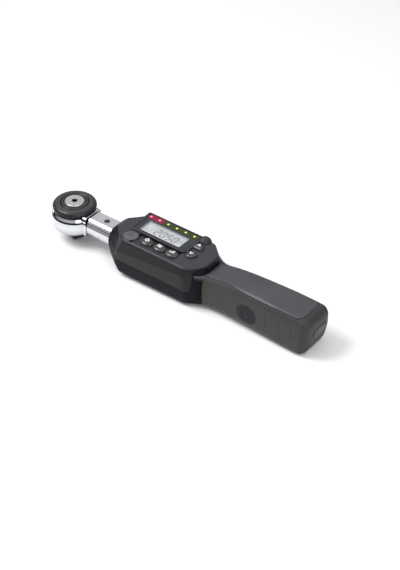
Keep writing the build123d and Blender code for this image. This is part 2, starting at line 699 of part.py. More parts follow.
def rib_grooves():
    """Three shallow curved grooves on each flank of the grip."""
    grooves = []
    for index, x in enumerate((193.9, 205.4, 216.3)):
        half = 4.6 + 0.8 * index
        centre = 13.0
        near = ThreePointArc((x, centre - half), (x - 0.9, centre), (x, centre + half))
        far = ThreePointArc((x + 0.7, centre + half), (x - 0.2, centre), (x + 0.7, centre - half))
        ribbon = make_face(near + far + Line(near @ 1, far @ 0) + Line(far @ 1, near @ 0))
        grooves.append(extrude(Plane.XZ * ribbon, 30, both=True))
    return grooves


def pad_solid(side, outer, inner, growth=0.0):
    shape = Ellipse(PAD_SIZE[0] / 2 + growth, PAD_SIZE[1] / 2 + growth)
    disc = extrude(Plane.XZ * shape, 30)
    disc = Pos(PAD_X, 0, PAD_Z) * (disc if side < 0 else mirror(disc, Plane.XZ))
    return (handle_form(outer) - handle_form(inner)) & disc


def grip_rubber():
    """The rubber sleeve moulded round the flanks, belly and end corners."""
    sleeve = handle_form() - handle_form(GRIP_THICK - GRIP_BOND)
    sleeve -= spine_region(0.2)
    sleeve &= block(GRIP_FRONT + 0.2, 240, -30, 30, -20, 40) & end_slope(CAP_FACE_X - GRIP_END)
    core = handle_form(0.45)
    for bar in rib_grooves():
        sleeve -= bar - core
    for side in (1, -1):
        sleeve -= pad_solid(side, -1.0, GRIP_THICK + 1.0, 0.15)
    return sleeve


def grip_pad(side):
    """A thumb pad let into the flank of the grip."""
    return pad_solid(side, 0.35, GRIP_THICK - GRIP_BOND)


def battery_room():
    """The hollow in the handle for the two cells and the cap's plug."""
    room = handle_form(GRIP_THICK + SHELL_WALL)
    return room & block(166.0, 240.0, -30, 30, -20, 40)


def handle_shell():
    """The hard plastic core: spine on its top, mouth round the body's tail, cell room inside."""
    rear = end_slope(CAP_FACE_X - GRIP_END + 3.5)
    core = handle_form(GRIP_THICK) & block(GRIP_FRONT - 2, 240, -30, 30, -20, 40)
    spine = handle_form() & spine_region() & block(128.8, 240, -30, 30, -20, 40)
    shell = ((core + spine) & rear) - battery_room()
    shell -= body_form(-SEAM_GAP)
    for side in (1, -1):
        shell -= cylinder_x(BATTERY_R + 0.15, 166.0, 240.0, side * BATTERY_Y, BATTERY_Z)
    shell -= block(120.0, 163.2, -7.1, 7.1, AXIS_Z - 5.6, AXIS_Z + 5.6)
    for x in (146.0, 157.0):
        shell -= cylinder_z(1.5, -10, AXIS_Z, x)
        shell -= cylinder_z(2.7, -10, 1.6, x)
    return shell


def frame_screws():
    """The two screws that hold the handle shell to its frame, from below."""
    screws = []
    for x in (146.0, 157.0):
        screw = cylinder_z(1.45, 1.6, AXIS_Z + 4.0, x) + cylinder_z(2.6, 0.0, 1.6, x)
        screws.append(screw - upright(Pos(x, 0) * lobed_recess(2.2), -1, 1.0))
    return Compound(children=screws)


def battery(side):
    """One AAA cell: a plain tube with a button at one end, the two lying opposite ways."""
    y = side * BATTERY_Y
    cell = cylinder_x(BATTERY_R, BATTERY_START, BATTERY_START + BATTERY_LENGTH - 1.0, y, BATTERY_Z)
    if side > 0:
        return cell + cylinder_x(1.9, BATTERY_START + BATTERY_LENGTH - 1.1,
                                 BATTERY_START + BATTERY_LENGTH, y, BATTERY_Z)
    cell = Pos(1.0, 0, 0) * cell
    return cell + cylinder_x(1.9, BATTERY_START, BATTERY_START + 1.1, y, BATTERY_Z)


def battery_cradle():
    """The tray under the cells."""
    tray = block(BATTERY_START - 0.3, BATTERY_START + BATTERY_LENGTH, -10.0, 10.0, -0.4, BATTERY_Z)
    for side in (1, -1):
        tray -= cylinder_x(BATTERY_R + 0.1, BATTERY_START - 1, 240, side * BATTERY_Y, BATTERY_Z)
    return tray & handle_form(GRIP_THICK + SHELL_WALL + 0.1)


def battery_springs():
    """The widening coil contact at the flat end of one cell."""
    coils = []
    for turn in range(3):
        place = Pos(BATTERY_START - 0.6 - 0.75 * turn, BATTERY_Y, BATTERY_Z)
        coils.append(place * coil_ring(2.0 + 0.5 * turn, 0.7))
    return Compound(children=coils)


def battery_contact():
    """The plate in the end cap that joins the two cells."""
    return block(215.6, 216.0, -8.0, 8.0, BATTERY_Z - 3.0, BATTERY_Z + 3.0)


def end_cap():
    """The hard end cap, with a plug into the handle and a well for its latch."""
    recess = CAP_FACE_X - GRIP_END
    face = (handle_form(1.2) & end_slope()) - end_slope(recess)
    middle = handle_form(GRIP_THICK + 0.1) & (end_slope(recess) - end_slope(recess + 3.3))
    plug = handle_form(GRIP_THICK + SHELL_WALL + 0.25) & (end_slope(recess + 3.2) - block(0, 216.2, -40, 40, -40, 60))
    plug -= handle_form(GRIP_THICK + SHELL_WALL + 1.8) & block(210, 218.5, -30, 30, -20, 40)
    cap = face + middle + plug
    cap -= cylinder_x(1.6, 216.0, 224.5, z=LATCH_Z)
    return cap - Pos(223.6, 0, LATCH_Z) * extrude(Plane.YZ * latch_outline(0.15), 10)


def latch_outline(growth=0.0):
    return RectangleRounded(LATCH_SIZE[0] + 2 * growth, LATCH_SIZE[1] + 2 * growth, 2.6)


def latch_button():
    """The key in the end face that frees the cap."""
    key = Pos(224.9, 0, LATCH_Z) * extrude(Plane.YZ * latch_outline(), CAP_FACE_X - 224.9 + 0.3)
    key = fillet(key.faces().sort_by(Axis.X)[-1].edges(), 0.6)
    return key + cylinder_x(1.5, 219.4, 226.0, z=LATCH_Z)


# The pieces


PIECES = {
    "head_body": head_body,
    "drive_gear": drive_gear,
    "detent_ball": detent_ball,
    "detent_spring": detent_spring,
    "gear_retainer": gear_retainer,
    "pawl": pawl,
    "pawl_pin": pawl_pin,
    "selector_wheel": selector_wheel,
    "selector_plunger": selector_plunger,
    "selector_spring": selector_spring,
    "cap_screw": cap_screw,
    "shank_tube": shank_tube,
    "head_pin": head_pin,
    "load_pin": lambda: cross_pin(LOAD_PIN_X, 8.0),
    "rear_pin": lambda: cross_pin(REAR_PIN_X, 6.8),
    "strain_beam": strain_beam,
    "strain_gauges": strain_gauges,
    "handle_frame": handle_frame,
    "housing_cover": housing_cover,
    "housing_lower": housing_lower,
    "nose_seal": nose_seal,
    "housing_screws": housing_screws,
    "display_window": display_window,
    "lcd_module": lcd_module,
    "lcd_holder": lcd_holder,
    "lamps_red": lambda: lamps(True),
    "lamps_green": lambda: lamps(False),
    "circuit_board": circuit_board,
    "keypad": keypad,
    "button_clear": lambda: push_button(0),
    "button_unit": lambda: push_button(1),
    "button_memory": lambda: push_button(2),
    "button_down": lambda: arrow_button(0),
    "button_up": lambda: arrow_button(1),
    "sounder": sounder,
    "sounder_cover": sounder_cover,
    "handle_shell": handle_shell,
    "frame_screws": frame_screws,
    "grip_rubber": grip_rubber,
    "grip_pad_right": lambda: grip_pad(-1),
    "grip_pad_left": lambda: grip_pad(1),
    "battery_right": lambda: battery(-1),
    "battery_left": lambda: battery(1),
    "battery_cradle": battery_cradle,
    "battery_springs": battery_springs,
    "battery_contact": battery_contact,
    "end_cap": end_cap,
    "latch_button": latch_button,
}


def write_parts():
    os.makedirs("parts", exist_ok=True)
    for name, make in PIECES.items():
        export_step(Compound(children=list(make().solids())), f"parts/{name}.step")


if __name__ == "__main__":
    write_parts()
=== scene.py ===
"""Dresses the digital torque wrench: finishes, display, lamps, keys, wheel ribs, grip and studio."""

from math import cos, exp, radians, sin

import bmesh
import bpy
from bpy.props import FloatProperty, FloatVectorProperty, IntProperty, PointerProperty
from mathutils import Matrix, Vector


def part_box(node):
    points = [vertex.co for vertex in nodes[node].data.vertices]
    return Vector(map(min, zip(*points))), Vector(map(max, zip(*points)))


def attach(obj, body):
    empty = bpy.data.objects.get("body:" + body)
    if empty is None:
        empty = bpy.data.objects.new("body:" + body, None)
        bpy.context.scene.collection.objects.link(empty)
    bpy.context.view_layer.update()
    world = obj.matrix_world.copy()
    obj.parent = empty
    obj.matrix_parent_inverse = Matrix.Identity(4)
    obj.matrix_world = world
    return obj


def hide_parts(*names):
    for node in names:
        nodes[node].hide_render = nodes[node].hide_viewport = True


bl_info = {
    "name": "Digital torque wrench dressing",
    "version": (1, 0, 0),
    "blender": (4, 5, 0),
    "location": "View3D > Sidebar > Wrench",
    "description": "Finishes, display, keys, grip and studio for a digital torque wrench",
    "category": "Object",
}

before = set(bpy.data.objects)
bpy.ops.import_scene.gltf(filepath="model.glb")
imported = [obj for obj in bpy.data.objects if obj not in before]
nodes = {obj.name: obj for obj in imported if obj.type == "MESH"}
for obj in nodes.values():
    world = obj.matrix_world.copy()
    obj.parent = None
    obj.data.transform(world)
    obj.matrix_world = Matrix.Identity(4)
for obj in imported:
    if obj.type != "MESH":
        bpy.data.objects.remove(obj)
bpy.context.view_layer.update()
MM = 0.001


# Settings


def colour(name, description, default):
    return FloatVectorProperty(name=name, description=description, default=default, subtype="COLOR",
                               size=3, min=0.0, max=1.0)


def length(name, description, default):
    return FloatProperty(name=name, description=description, default=default, unit="LENGTH", min=0.0)


def number(name, description, default):
    return IntProperty(name=name, description=description, default=default, min=1)


def angle(name, description, degrees):
    return FloatProperty(name=name, description=description, default=radians(degrees), subtype="ANGLE")


class WrenchColours(bpy.types.PropertyGroup):
    """Colours of the visible parts."""

    cover: colour("Cover", "Upper cover of the housing", (0.0125, 0.0125, 0.0142))
    lower: colour("Lower shell", "Nose, belly and tail of the housing", (0.0065, 0.007, 0.0105))
    keys: colour("Keys", "Push keys", (0.042, 0.042, 0.045))
    marks: colour("Key marks", "Marks printed on the keys", (0.9, 0.9, 0.9))
    handle: colour("Handle", "Hard plastic of the handle", (0.055, 0.057, 0.063))
    rubber: colour("Rubber", "Rubber sleeve of the grip", (0.036, 0.036, 0.0335))
    pad: colour("Thumb pad", "Pads let into the grip", (0.02, 0.02, 0.026))
    end_cap: colour("End cap", "Cap and its latch", (0.05, 0.05, 0.056))
    wheel: colour("Selector wheel", "Knurled wheel on the head", (0.012, 0.012, 0.013))
    chrome: colour("Chrome", "Plated head and shank", (0.7, 0.71, 0.74))
    lcd: colour("Display", "Background of the display", (0.42, 0.425, 0.43))
    red_lamps: colour("Red lamps", "Strip over the two warning lamps", (0.22, 0.012, 0.035))
    green_lamps: colour("Green lamps", "Strip over the four target lamps", (0.03, 0.04, 0.009))


class WrenchSizes(bpy.types.PropertyGroup):
    """Sizes and counts of the pieces that this file adds."""

    red_count: number("Red lamps", "How many of the lamps are red", 2)
    lamp_pitch: length("Lamp pitch", "From one lamp to the next", 0.00828)
    digit_height: length("Digit height", "Height of the display's digits", 0.0068)
    print_height: length("Print height", "How far printed marks stand above their surface", 0.00003)
    wheel_ribs: number("Wheel ribs", "Ribs round the selector wheel", 60)
    pad_grooves: number("Pad grooves", "Grooves down each thumb pad", 15)


class StudioSettings(bpy.types.PropertyGroup):
    """The floor, the lights and the camera."""

    floor: colour("Floor", "Colour of the floor", (0.88, 0.88, 0.88))
    camera_lens: FloatProperty(name="Lens", description="Focal length", default=85.9, min=10.0,
                               unit="CAMERA")
    azimuth: angle("Azimuth", "Camera's turn about the wrench", 37.86)
    elevation: angle("Elevation", "Camera's height as an angle", 38.03)
    distance: length("Distance", "From the camera to the middle of the wrench", 1.0159)
    key_light: FloatProperty(name="Key light", description="Power of the main light", default=9.0, min=0.0,
                             unit="POWER")


def settings():
    return bpy.context.scene.wrench_colours, bpy.context.scene.wrench_sizes


# Node helpers


def new_material(name):
    material = bpy.data.materials.new(name)
    material.use_nodes = True
    tree = material.node_tree
    return material, tree, tree.nodes["Principled BSDF"]


def feed(tree, socket, value):
    """Links another node's output to an input, or sets the input to a plain number or colour."""
    if isinstance(value, bpy.types.NodeSocket):
        tree.links.new(value, socket)
    elif isinstance(value, tuple):
        socket.default_value = (*value, 1.0)
    else:
        socket.default_value = value


def fill(tree, node, values):
    """Feeds several inputs of a node by name."""
    for name, value in values.items():
        feed(tree, node.inputs[name], value)


def added(tree, kind, values):
    """Adds a node and feeds its inputs."""
    made = tree.nodes.new(kind)
    fill(tree, made, values)
    return made


def object_place(tree, scale=(1, 1, 1), centre=(0, 0, 0)):
    """Object coordinates through a Mapping node."""
    place = tree.nodes.new("ShaderNodeTexCoord").outputs["Object"]
    mapping = added(tree, "ShaderNodeMapping", {"Vector": place, "Location": list(centre),
                                                "Scale": list(scale)})
    mapping.vector_type = "TEXTURE"
    return mapping.outputs["Vector"]


def split_axes(tree, vector):
    """The x, y and z sockets of a vector."""
    return added(tree, "ShaderNodeSeparateXYZ", {"Vector": vector}).outputs[:]


def place_axes(tree):
    """Object coordinates as separate x, y and z sockets."""
    return split_axes(tree, tree.nodes.new("ShaderNodeTexCoord").outputs["Object"])


def noise(tree, vector, scale, detail=3.0, rough=0.55):
    values = {"Vector": vector, "Scale": scale, "Detail": detail, "Roughness": rough}
    return added(tree, "ShaderNodeTexNoise", values).outputs["Fac"]


def spread(tree, value, low, high, start=0.3, end=0.7):
    """Maps a value, from start to end, onto low to high."""
    values = {"Value": value, "From Min": start, "From Max": end, "To Min": low, "To Max": high}
    return added(tree, "ShaderNodeMapRange", values).outputs["Result"]


def ramp(tree, value, stops):
    """A colour ramp through (place, colour) stops."""
    made = tree.nodes.new("ShaderNodeValToRGB")
    elements = made.color_ramp.elements
    elements.remove(elements[1])
    elements[0].position = stops[0][0]
    elements[0].color = (*stops[0][1], 1.0)
    for place, tone in stops[1:]:
        elements.new(place).color = (*tone, 1.0)
    tree.links.new(value, made.inputs["Fac"])
    return made.outputs["Color"]


def shade(base, factor):
    return tuple(min(1.0, channel * factor) for channel in base)


def toned(tree, value, base, dark, light, start=0.3, end=0.7):
    """A base colour that wavers between two of its shades."""
    return ramp(tree, value, [(start, shade(base, dark)), (end, shade(base, light))])


def calc(tree, operation, first, second=0.0):
    """One Math node; the inputs are sockets or plain numbers."""
    made = tree.nodes.new("ShaderNodeMath")
    made.operation = operation
    for socket, value in zip(made.inputs, (first, second)):
        feed(tree, socket, value)
    return made.outputs[0]


def mixed(tree, factor, first, second):
    """Blends two colours, which are sockets or plain colours."""
    made = tree.nodes.new("ShaderNodeMix")
    made.data_type = "RGBA"
    for key, value in (("Factor", factor), (6, first), (7, second)):
        feed(tree, made.inputs[key], value)
    return made.outputs[2]


def add_bump(tree, shader, height, strength, distance):
    made = added(tree, "ShaderNodeBump", {"Height": height, "Strength": strength, "Distance": distance})
    tree.links.new(made.outputs["Normal"], shader.inputs["Normal"])


# Finishes


CLOUD_SCALE = 45.0  # patches of slightly uneven colour and gloss, about 20 mm across
UPWARD = (0.35, 0.95)  # the normal's z from which a face starts to get the painted highlight of a top, and fully does
LEVEL = (0.72, 0.97)  # the same for a face that counts as level, for the painted highlight of level tops
COLLAR_END = (0.1358, 0.1372)  # spans over which the zones fade, in metres
COLLAR_TOP = (0.0175, 0.0215)
END_FACE = (0.2262, 0.2284)
JOINT_SHADE = (0.01, 0.01, 0.012)
# painted shade inside the screw's socket
SOCKET_PAINTED_SHADE = (0.006, 0.006, 0.006)
SOCKET_STEP = 0.0006  # how far below the screw's face its socket turns dark with painted shade
# the painted glint over each lamp, a spot with a halo and four rays, given as colour and glow
SPOT_FALL = -2.6  # how fast a lamp's spot fades with the square of the distance in millimetres
HALO_FALL = -0.35
HALO_SHARE = 0.3
RAY_FALL = -1.1
RAY_PINCH = -14.0  # how thin the four rays are
RAY_SHARE = 0.6


def moulded(name, base, roughness=0.45, grain=2600.0, depth=0.00004, variation=0.08, sheen=0.0,
            specular=0.3, zones=()):
    """Moulded plastic or rubber: spark-eroded grain, slightly uneven colour and gloss.

    A zone is a function that gives a mask for the piece, and the colour that the mask lays on: painted
    highlights and painted shade on some pieces, and a second colour of the part on the end cap."""
    material, tree, shader = new_material(name)
    where = object_place(tree)
    cloud = noise(tree, where, CLOUD_SCALE, 4.0)
    tone = toned(tree, cloud, base, 1 - variation, 1 + variation)
    for mask, colour_there in zones:
        tone = mixed(tree, mask(tree), tone, tuple(colour_there))
    gloss = spread(tree, cloud, roughness - 0.05, roughness + 0.06)
    fill(tree, shader, {"Base Color": tone, "Roughness": gloss, "Specular IOR Level": specular,
                        "Sheen Weight": sheen, "Sheen Roughness": 0.5})
    add_bump(tree, shader, noise(tree, where, grain, 2.0), 0.35, depth)
    return material


def painted_top_highlight(tree, span=UPWARD):
    """1 where the surface faces up, 0 on the walls: the mask of a painted highlight on the tops."""
    normal = tree.nodes.new("ShaderNodeNewGeometry").outputs["Normal"]
    return spread(tree, split_axes(tree, normal)[2], 0.0, 1.0, *span)


def painted_level_highlight(tree):
    """1 only where the surface is nearly level: the mask of a painted highlight on level tops."""
    return painted_top_highlight(tree, LEVEL)


def collar_shade_zone(tree):
    """The part of the handle ahead of the rubber and below the spine, which gets painted shade."""
    x, _, z = place_axes(tree)
    ahead = spread(tree, x, 1.0, 0.0, *COLLAR_END)
    return calc(tree, "MULTIPLY", ahead, spread(tree, z, 1.0, 0.0, *COLLAR_TOP))


def end_face_zone(tree):
    """The middle of the handle's end face."""
    return spread(tree, place_axes(tree)[0], 0.0, 1.0, *END_FACE)


def plated(name, tint, tones, roughness=0.07, joints=()):
    """Polished chrome plate over a faintly uneven forging, with painted reflections and shade in bands by
    height.

    The tones are (height in millimetres, brightness) pairs of painted reflection and shade, and the joints
    are dark spans of x."""
    material, tree, shader = new_material(name)
    where = object_place(tree)
    x, _, z = place_axes(tree)
    low, high = tones[0][0], tones[-1][0]
    height = spread(tree, z, 0.0, 1.0, low * MM, high * MM)
    stops = [((level - low) / (high - low), shade(tint, bright)) for level, bright in tones]
    tone = ramp(tree, height, stops)
    for start, end in joints:
        inside = calc(tree, "MULTIPLY", calc(tree, "GREATER_THAN", x, start * MM),
                      calc(tree, "LESS_THAN", x, end * MM))
        tone = mixed(tree, inside, tone, JOINT_SHADE)
    gloss = spread(tree, noise(tree, where, 70.0), roughness, roughness + 0.05)
    fill(tree, shader, {"Base Color": tone, "Metallic": 1.0, "Roughness": gloss})
    add_bump(tree, shader, noise(tree, where, 120.0, 2.0), 0.12, 0.00003)
    return material


def machined(name, tint, roughness=0.3):
    """Bare metal with fine tool marks that run level."""
    material, tree, shader = new_material(name)
    marks = noise(tree, object_place(tree, scale=(1, 1, 0.02)), 900.0)
    gloss = spread(tree, marks, roughness - 0.06, roughness + 0.1)
    fill(tree, shader, {"Base Color": toned(tree, marks, tint, 0.8, 1.1), "Metallic": 1.0,
                        "Roughness": gloss})
    add_bump(tree, shader, marks, 0.25, 0.00002)
    return material


def turned_face(name, tint, face_z):
    """A faced disc with fine rings about the drive axis, and painted shade in the socket below its face."""
    material, tree, shader = new_material(name)
    where = object_place(tree)
    rings = added(tree, "ShaderNodeTexWave", {"Vector": where, "Scale": 900.0, "Distortion": 0.4})
    rings.wave_type = "RINGS"
    rings.rings_direction = "Z"
    tone = toned(tree, rings.outputs["Fac"], tint, 0.9, 1.05, 0.0, 1.0)
    sunk = calc(tree, "LESS_THAN", place_axes(tree)[2], face_z - SOCKET_STEP)
    gloss = spread(tree, noise(tree, where, 300.0), 0.3, 0.42)
    fill(tree, shader, {"Base Color": mixed(tree, sunk, tone, SOCKET_PAINTED_SHADE), "Metallic": 0.85,
                        "Roughness": gloss})
    add_bump(tree, shader, rings.outputs["Fac"], 0.15, 0.00002)
    return material


def tinted_strip(name, base, glow, pitch, start_x, middle_y):
    """Translucent strip over the lamps: dark tint with a painted glint over each lamp, a soft star of light
    that also glows.
    """
    material, tree, shader = new_material(name)

    def times(first, second):
        return calc(tree, "MULTIPLY", first, second)

    def plus(first, second):
        return calc(tree, "ADD", first, second)

    def fading(value, rate):
        return calc(tree, "EXPONENT", times(value, rate))

    x, y, _ = place_axes(tree)
    cell = calc(tree, "PINGPONG", calc(tree, "SUBTRACT", x, start_x - pitch), pitch / 2)
    along = calc(tree, "DIVIDE", cell, MM)
    across = calc(tree, "DIVIDE", calc(tree, "ABSOLUTE", calc(tree, "SUBTRACT", y, middle_y)), MM)
    square = plus(times(along, along), times(across, across))
    halo = times(fading(square, HALO_FALL), HALO_SHARE)
    cross = fading(times(along, across), RAY_PINCH)
    rays = times(times(cross, fading(plus(along, across), RAY_FALL)), RAY_SHARE)
    star = plus(plus(fading(square, SPOT_FALL), halo), rays)
    base = tuple(base)
    tone = ramp(tree, star, [(0.0, base), (0.3, shade(base, 1.9)), (1.0, glow)])
    light = ramp(tree, star, [(0.15, (0, 0, 0)), (0.6, shade(glow, 0.35)), (1.0, glow)])
    fill(tree, shader, {"Base Color": tone, "Emission Color": light, "Emission Strength": 0.9,
                        "Roughness": 0.18, "Specular IOR Level": 0.3})
    return material


def display_glass(name):
    """Nearly clear plastic with a faint haze."""
    material, tree, shader = new_material(name)
    haze = noise(tree, object_place(tree), 60.0)
    tone = ramp(tree, haze, [(0.3, (0.8, 0.85, 0.9)), (0.7, (0.9, 0.93, 0.95))])
    fill(tree, shader, {"Base Color": tone, "Roughness": spread(tree, haze, 0.03, 0.07), "Alpha": 0.12})
    return material


def display_layer(name, base):
    """The pale reflective layer of the display, with a soft sweep of light and shade over it."""
    material, tree, shader = new_material(name)
    where = object_place(tree, scale=(0.04, 0.014, 1), centre=(0.0845, 0.0038, 0))
    sweep = noise(tree, where, 1.3, 1.0, 0.5)
    fill(tree, shader, {"Base Color": toned(tree, sweep, base, 0.75, 1.25, 0.35, 0.65), "Roughness": 0.35,
                        "Metallic": 0.1})
    return material


# Mesh helpers


AXES = {"x": lambda a, b, c: (c, a, b), "y": lambda a, b, c: (a, c, b), "z": lambda a, b, c: (a, b, c)}
OUTLINE_STEPS = 6  # steps round each corner of an outline
ELLIPSE_STEPS = 48
TINY = 1e-6
DOME_SCALES = (0.985, 0.95, 0.89, 0.8, 0.68, 0.54, 0.38, 0.2)  # the dome's rings, as shares of its rim


def box_mm(name):
    """The lowest and highest corner of a solid, in millimetres."""
    low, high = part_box(name)
    return low / MM, high / MM


def placed(name, data):
    """Puts a mesh, a lamp or a camera into the scene."""
    made = bpy.data.objects.new(name, data)
    bpy.context.scene.collection.objects.link(made)
    return made


def mesh_of(bm, name):
    """Turns a shape into a mesh with outward faces."""
    bmesh.ops.recalc_face_normals(bm, faces=bm.faces)
    mesh = bpy.data.meshes.new(name)
    bm.to_mesh(mesh)
    bm.free()
    return mesh


def finished(bm, name, angle=35):
    """A mesh with outward faces, smooth but for its sharp edges."""
    mesh = mesh_of(bm, name)
    mesh.shade_smooth()
    mesh.set_sharp_from_angle(angle=radians(angle))
    return mesh


def piece(name, shape, body, material):
    """Turns a shape or a mesh into a piece that rides on a body."""
    mesh = mesh_of(shape, name) if isinstance(shape, bmesh.types.BMesh) else shape
    made = placed(name, mesh)
    mesh.materials.clear()
    mesh.materials.append(material)
    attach(made, body)
    return made


def evaluated(holder):
    """The mesh of an object with its modifiers applied."""
    graph = bpy.context.evaluated_depsgraph_get()
    return bpy.data.meshes.new_from_object(holder.evaluated_get(graph))


def band(bm, first, second):
    """Joins two closed rows of points with faces."""
    for index in range(len(first)):
        after = (index + 1) % len(first)
        bm.faces.new((first[index], first[after], second[after], second[index]))


def skinned(bm, rows):
    """Joins rows of points one after another, and closes both ends."""
    for first, second in zip(rows, rows[1:]):
        band(bm, first, second)
    bm.faces.new(rows[0])
    bm.faces.new(rows[-1])


def prisms(outlines, low, high, axis="z"):
    """Closed prisms along an axis, on outlines of the other two coordinates, in millimetres."""
    bm = bmesh.new()
    place = AXES[axis]
    for outline in outlines:
        ends = [[bm.verts.new(Vector(place(a, b, level)) * MM) for a, b in outline] for level in (low, high)]
        bm.faces.new(ends[0][::-1])
        bm.faces.new(ends[1])
        band(bm, *ends)
    return bm


def ring_between(outer, inner, low, high):
    """A closed ring between two outlines of the same number of points."""
    bm = bmesh.new()
    rows = [[bm.verts.new((x * MM, y * MM, z * MM)) for x, y in outline]
            for outline, z in ((outer, low), (outer, high), (inner, high), (inner, low))]
    for index, row in enumerate(rows):
        band(bm, rows[index - 1], row)
    return bm


def domed(outline, middle, low, rim, crown):
    """A closed key: a straight wall on an outline about its middle, and a flat-topped dome."""
    bm = bmesh.new()
    rows = [(1.0, low), (1.0, rim)]
    rows += [(scale, rim + (crown - rim) * (1 - scale ** 2.6) ** 0.55) for scale in DOME_SCALES]
    skinned(bm, [[bm.verts.new(Vector((middle[0] + x * scale, middle[1] + y * scale, z)) * MM)
                  for x, y in outline] for scale, z in rows])
    return bm


def node_copy(name):
    """A merged copy of a solid's mesh."""
    bm = bmesh.new()
    bm.from_mesh(nodes[name].data)
    bmesh.ops.remove_doubles(bm, verts=bm.verts, dist=TINY)
    return bm


def behind_plane(bm, point, normal):
    """Cuts away what lies on the normal's side of a plane, and closes the cut."""
    parts = bm.verts[:] + bm.edges[:] + bm.faces[:]
    cut = bmesh.ops.bisect_plane(bm, geom=parts, plane_co=Vector(point) * MM, plane_no=normal,
                                 clear_outer=True)
    edges = [part for part in cut["geom_cut"] if isinstance(part, bmesh.types.BMEdge)]
    bmesh.ops.triangle_fill(bm, edges=edges, use_beauty=True)
    return bm


def carved(bm, tool, operation="DIFFERENCE"):
    """The first shape cut by the second, or what the two share, as a new shape."""
    made = [placed("shape", mesh_of(shape, "shape")) for shape in (bm, tool)]
    modifier = made[0].modifiers.new("carve", "BOOLEAN")
    modifier.object = made[1]
    modifier.operation = operation
    modifier.solver = "EXACT"
    result = evaluated(made[0])
    for shape in made:
        bpy.data.objects.remove(shape)
    out = bmesh.new()
    out.from_mesh(result)
    bpy.data.meshes.remove(result)
    return out


def joined(first, *shapes):
    """Several closed shapes in one."""
    for shape in shapes:
        first.from_mesh(mesh_of(shape, "shape"))
    return first


def ellipse(cx, cy, half_x, half_y):
    turns = [radians(360 * step / ELLIPSE_STEPS) for step in range(ELLIPSE_STEPS)]
    return [(cx + half_x * cos(turn), cy + half_y * sin(turn)) for turn in turns]


def arc_points(cx, cy, radius, start, end, steps=14):
    turns = [radians(start + (end - start) * step / steps) for step in range(steps + 1)]
    return [(cx + radius * cos(turn), cy + radius * sin(turn)) for turn in turns]


def rounded_box(x0, x1, y0, y1, radius):
    """Outline of a rectangle with rounded corners."""
    points = []
    for cx, cy, start in ((x1 - radius, y1 - radius, 0), (x0 + radius, y1 - radius, 90),
                          (x0 + radius, y0 + radius, 180), (x1 - radius, y0 + radius, 270)):
        points += arc_points(cx, cy, radius, start, start + 90, OUTLINE_STEPS)
    return points


def grown_box(edges, margin, radius):
    """Outline of a rectangle that is moved outward by a margin and has rounded corners."""
    x0, x1, y0, y1 = edges
    return rounded_box(x0 - margin, x1 + margin, y0 - margin, y1 + margin, radius)


def soft_corners(points, radius):
    """A polygon with its corners eased by short curves."""
    outline = []
    for index, point in enumerate(points):
        corner = Vector(point)
        start = corner + (Vector(points[index - 1]) - corner).normalized() * radius
        end = corner + (Vector(points[(index + 1) % len(points)]) - corner).normalized() * radius
        for step in range(OUTLINE_STEPS + 1):
            t = step / OUTLINE_STEPS
            outline.append(tuple(start * (1 - t) ** 2 + corner * 2 * t * (1 - t) + end * t ** 2))
    return outline


def stroke(points, width):
    """Outline of a line of even width through a few points, with square ends."""
    left, right = [], []
    for index, point in enumerate(points):
        before = Vector(points[max(index - 1, 0)])
        after = Vector(points[min(index + 1, len(points) - 1)])
        along = (after - before).normalized()
        side = Vector((-along.y, along.x)) * width / 2
        if 0 < index < len(points) - 1:
            first = (Vector(point) - before).normalized()
            side /= max(0.4, abs(first.dot(along)))
        left.append(tuple(Vector(point) + side))
        right.append(tuple(Vector(point) - side))
    return left + right[::-1]


# The handle's form, in millimetres


HANDLE_STATIONS = (  # x, half width, top, bottom
    (134.0, 15.2, 21.0, -4.8), (140.0, 13.8, 21.55, -4.6), (150.0, 13.75, 23.2, -4.35),
    (165.0, 13.95, 24.75, -4.6), (185.0, 14.5, 25.4, -5.5), (205.0, 15.1, 25.3, -6.3),
    (231.0, 15.4, 24.4, -7.0))
SPINE_STATIONS = (  # x, half width
    (134.0, 8.25), (142.0, 8.7), (150.0, 9.25), (160.0, 10.3), (172.0, 11.5), (190.0, 12.2), (215.0, 12.1))
SPINE_SPAN = (12.0, 45.0)  # lowest and highest z of the tool that cuts the spine out
SPINE_END = 220.4
SPINE_CORNER = 5.0
SPINE_GAP = 0.36
UPPER_R = 6.0  # rounding along the top
LOWER_R = 5.0  # rounding along the bottom
LEAST_R = 1.0
SWELL = 0.35  # how far the flats stand out between their corners
FACE_X = 228.5  # the end face at the top
FOOT_X = 225.2  # and at the bottom, further forward
LEAN_Z = 12.0  # height below which the end face leans forward
LEAN_DROP = 18.0  # how far below that the lean is full
LEAN_POWER = 1.3
LEAN_REACH = 30.0  # how far ahead of the end face the lean fades out
END_ROUNDING = 7.5
END_NARROWING = 0.97
SHELL_JOINT = 150.0  # where the modelled front of the handle core meets the smooth form
RUBBER_FRONT = 135.9
RUBBER_THICK = 1.8
SEAM = ((223.4, 20.0), (219.6, -7.0))  # x and z of the joint between the sleeve and the end cap
FLATS = ((0, 1), (-1, 0), (0, -1), (1, 0))  # which way the top, left, bottom and right flats face
CORNER_STEPS = 8
FLAT_STEPS = 9
END_STEPS = 12
RING_PITCH = 0.6  # from one section to the next
RIB_PLACES = (193.9, 205.4, 216.3)  # x of the shallow bowed grooves in the flanks
RIB_Z = 11.5
RIB_HALF = 6.0
RIB_DEPTH = 0.4
RIB_WIDTH = 0.6


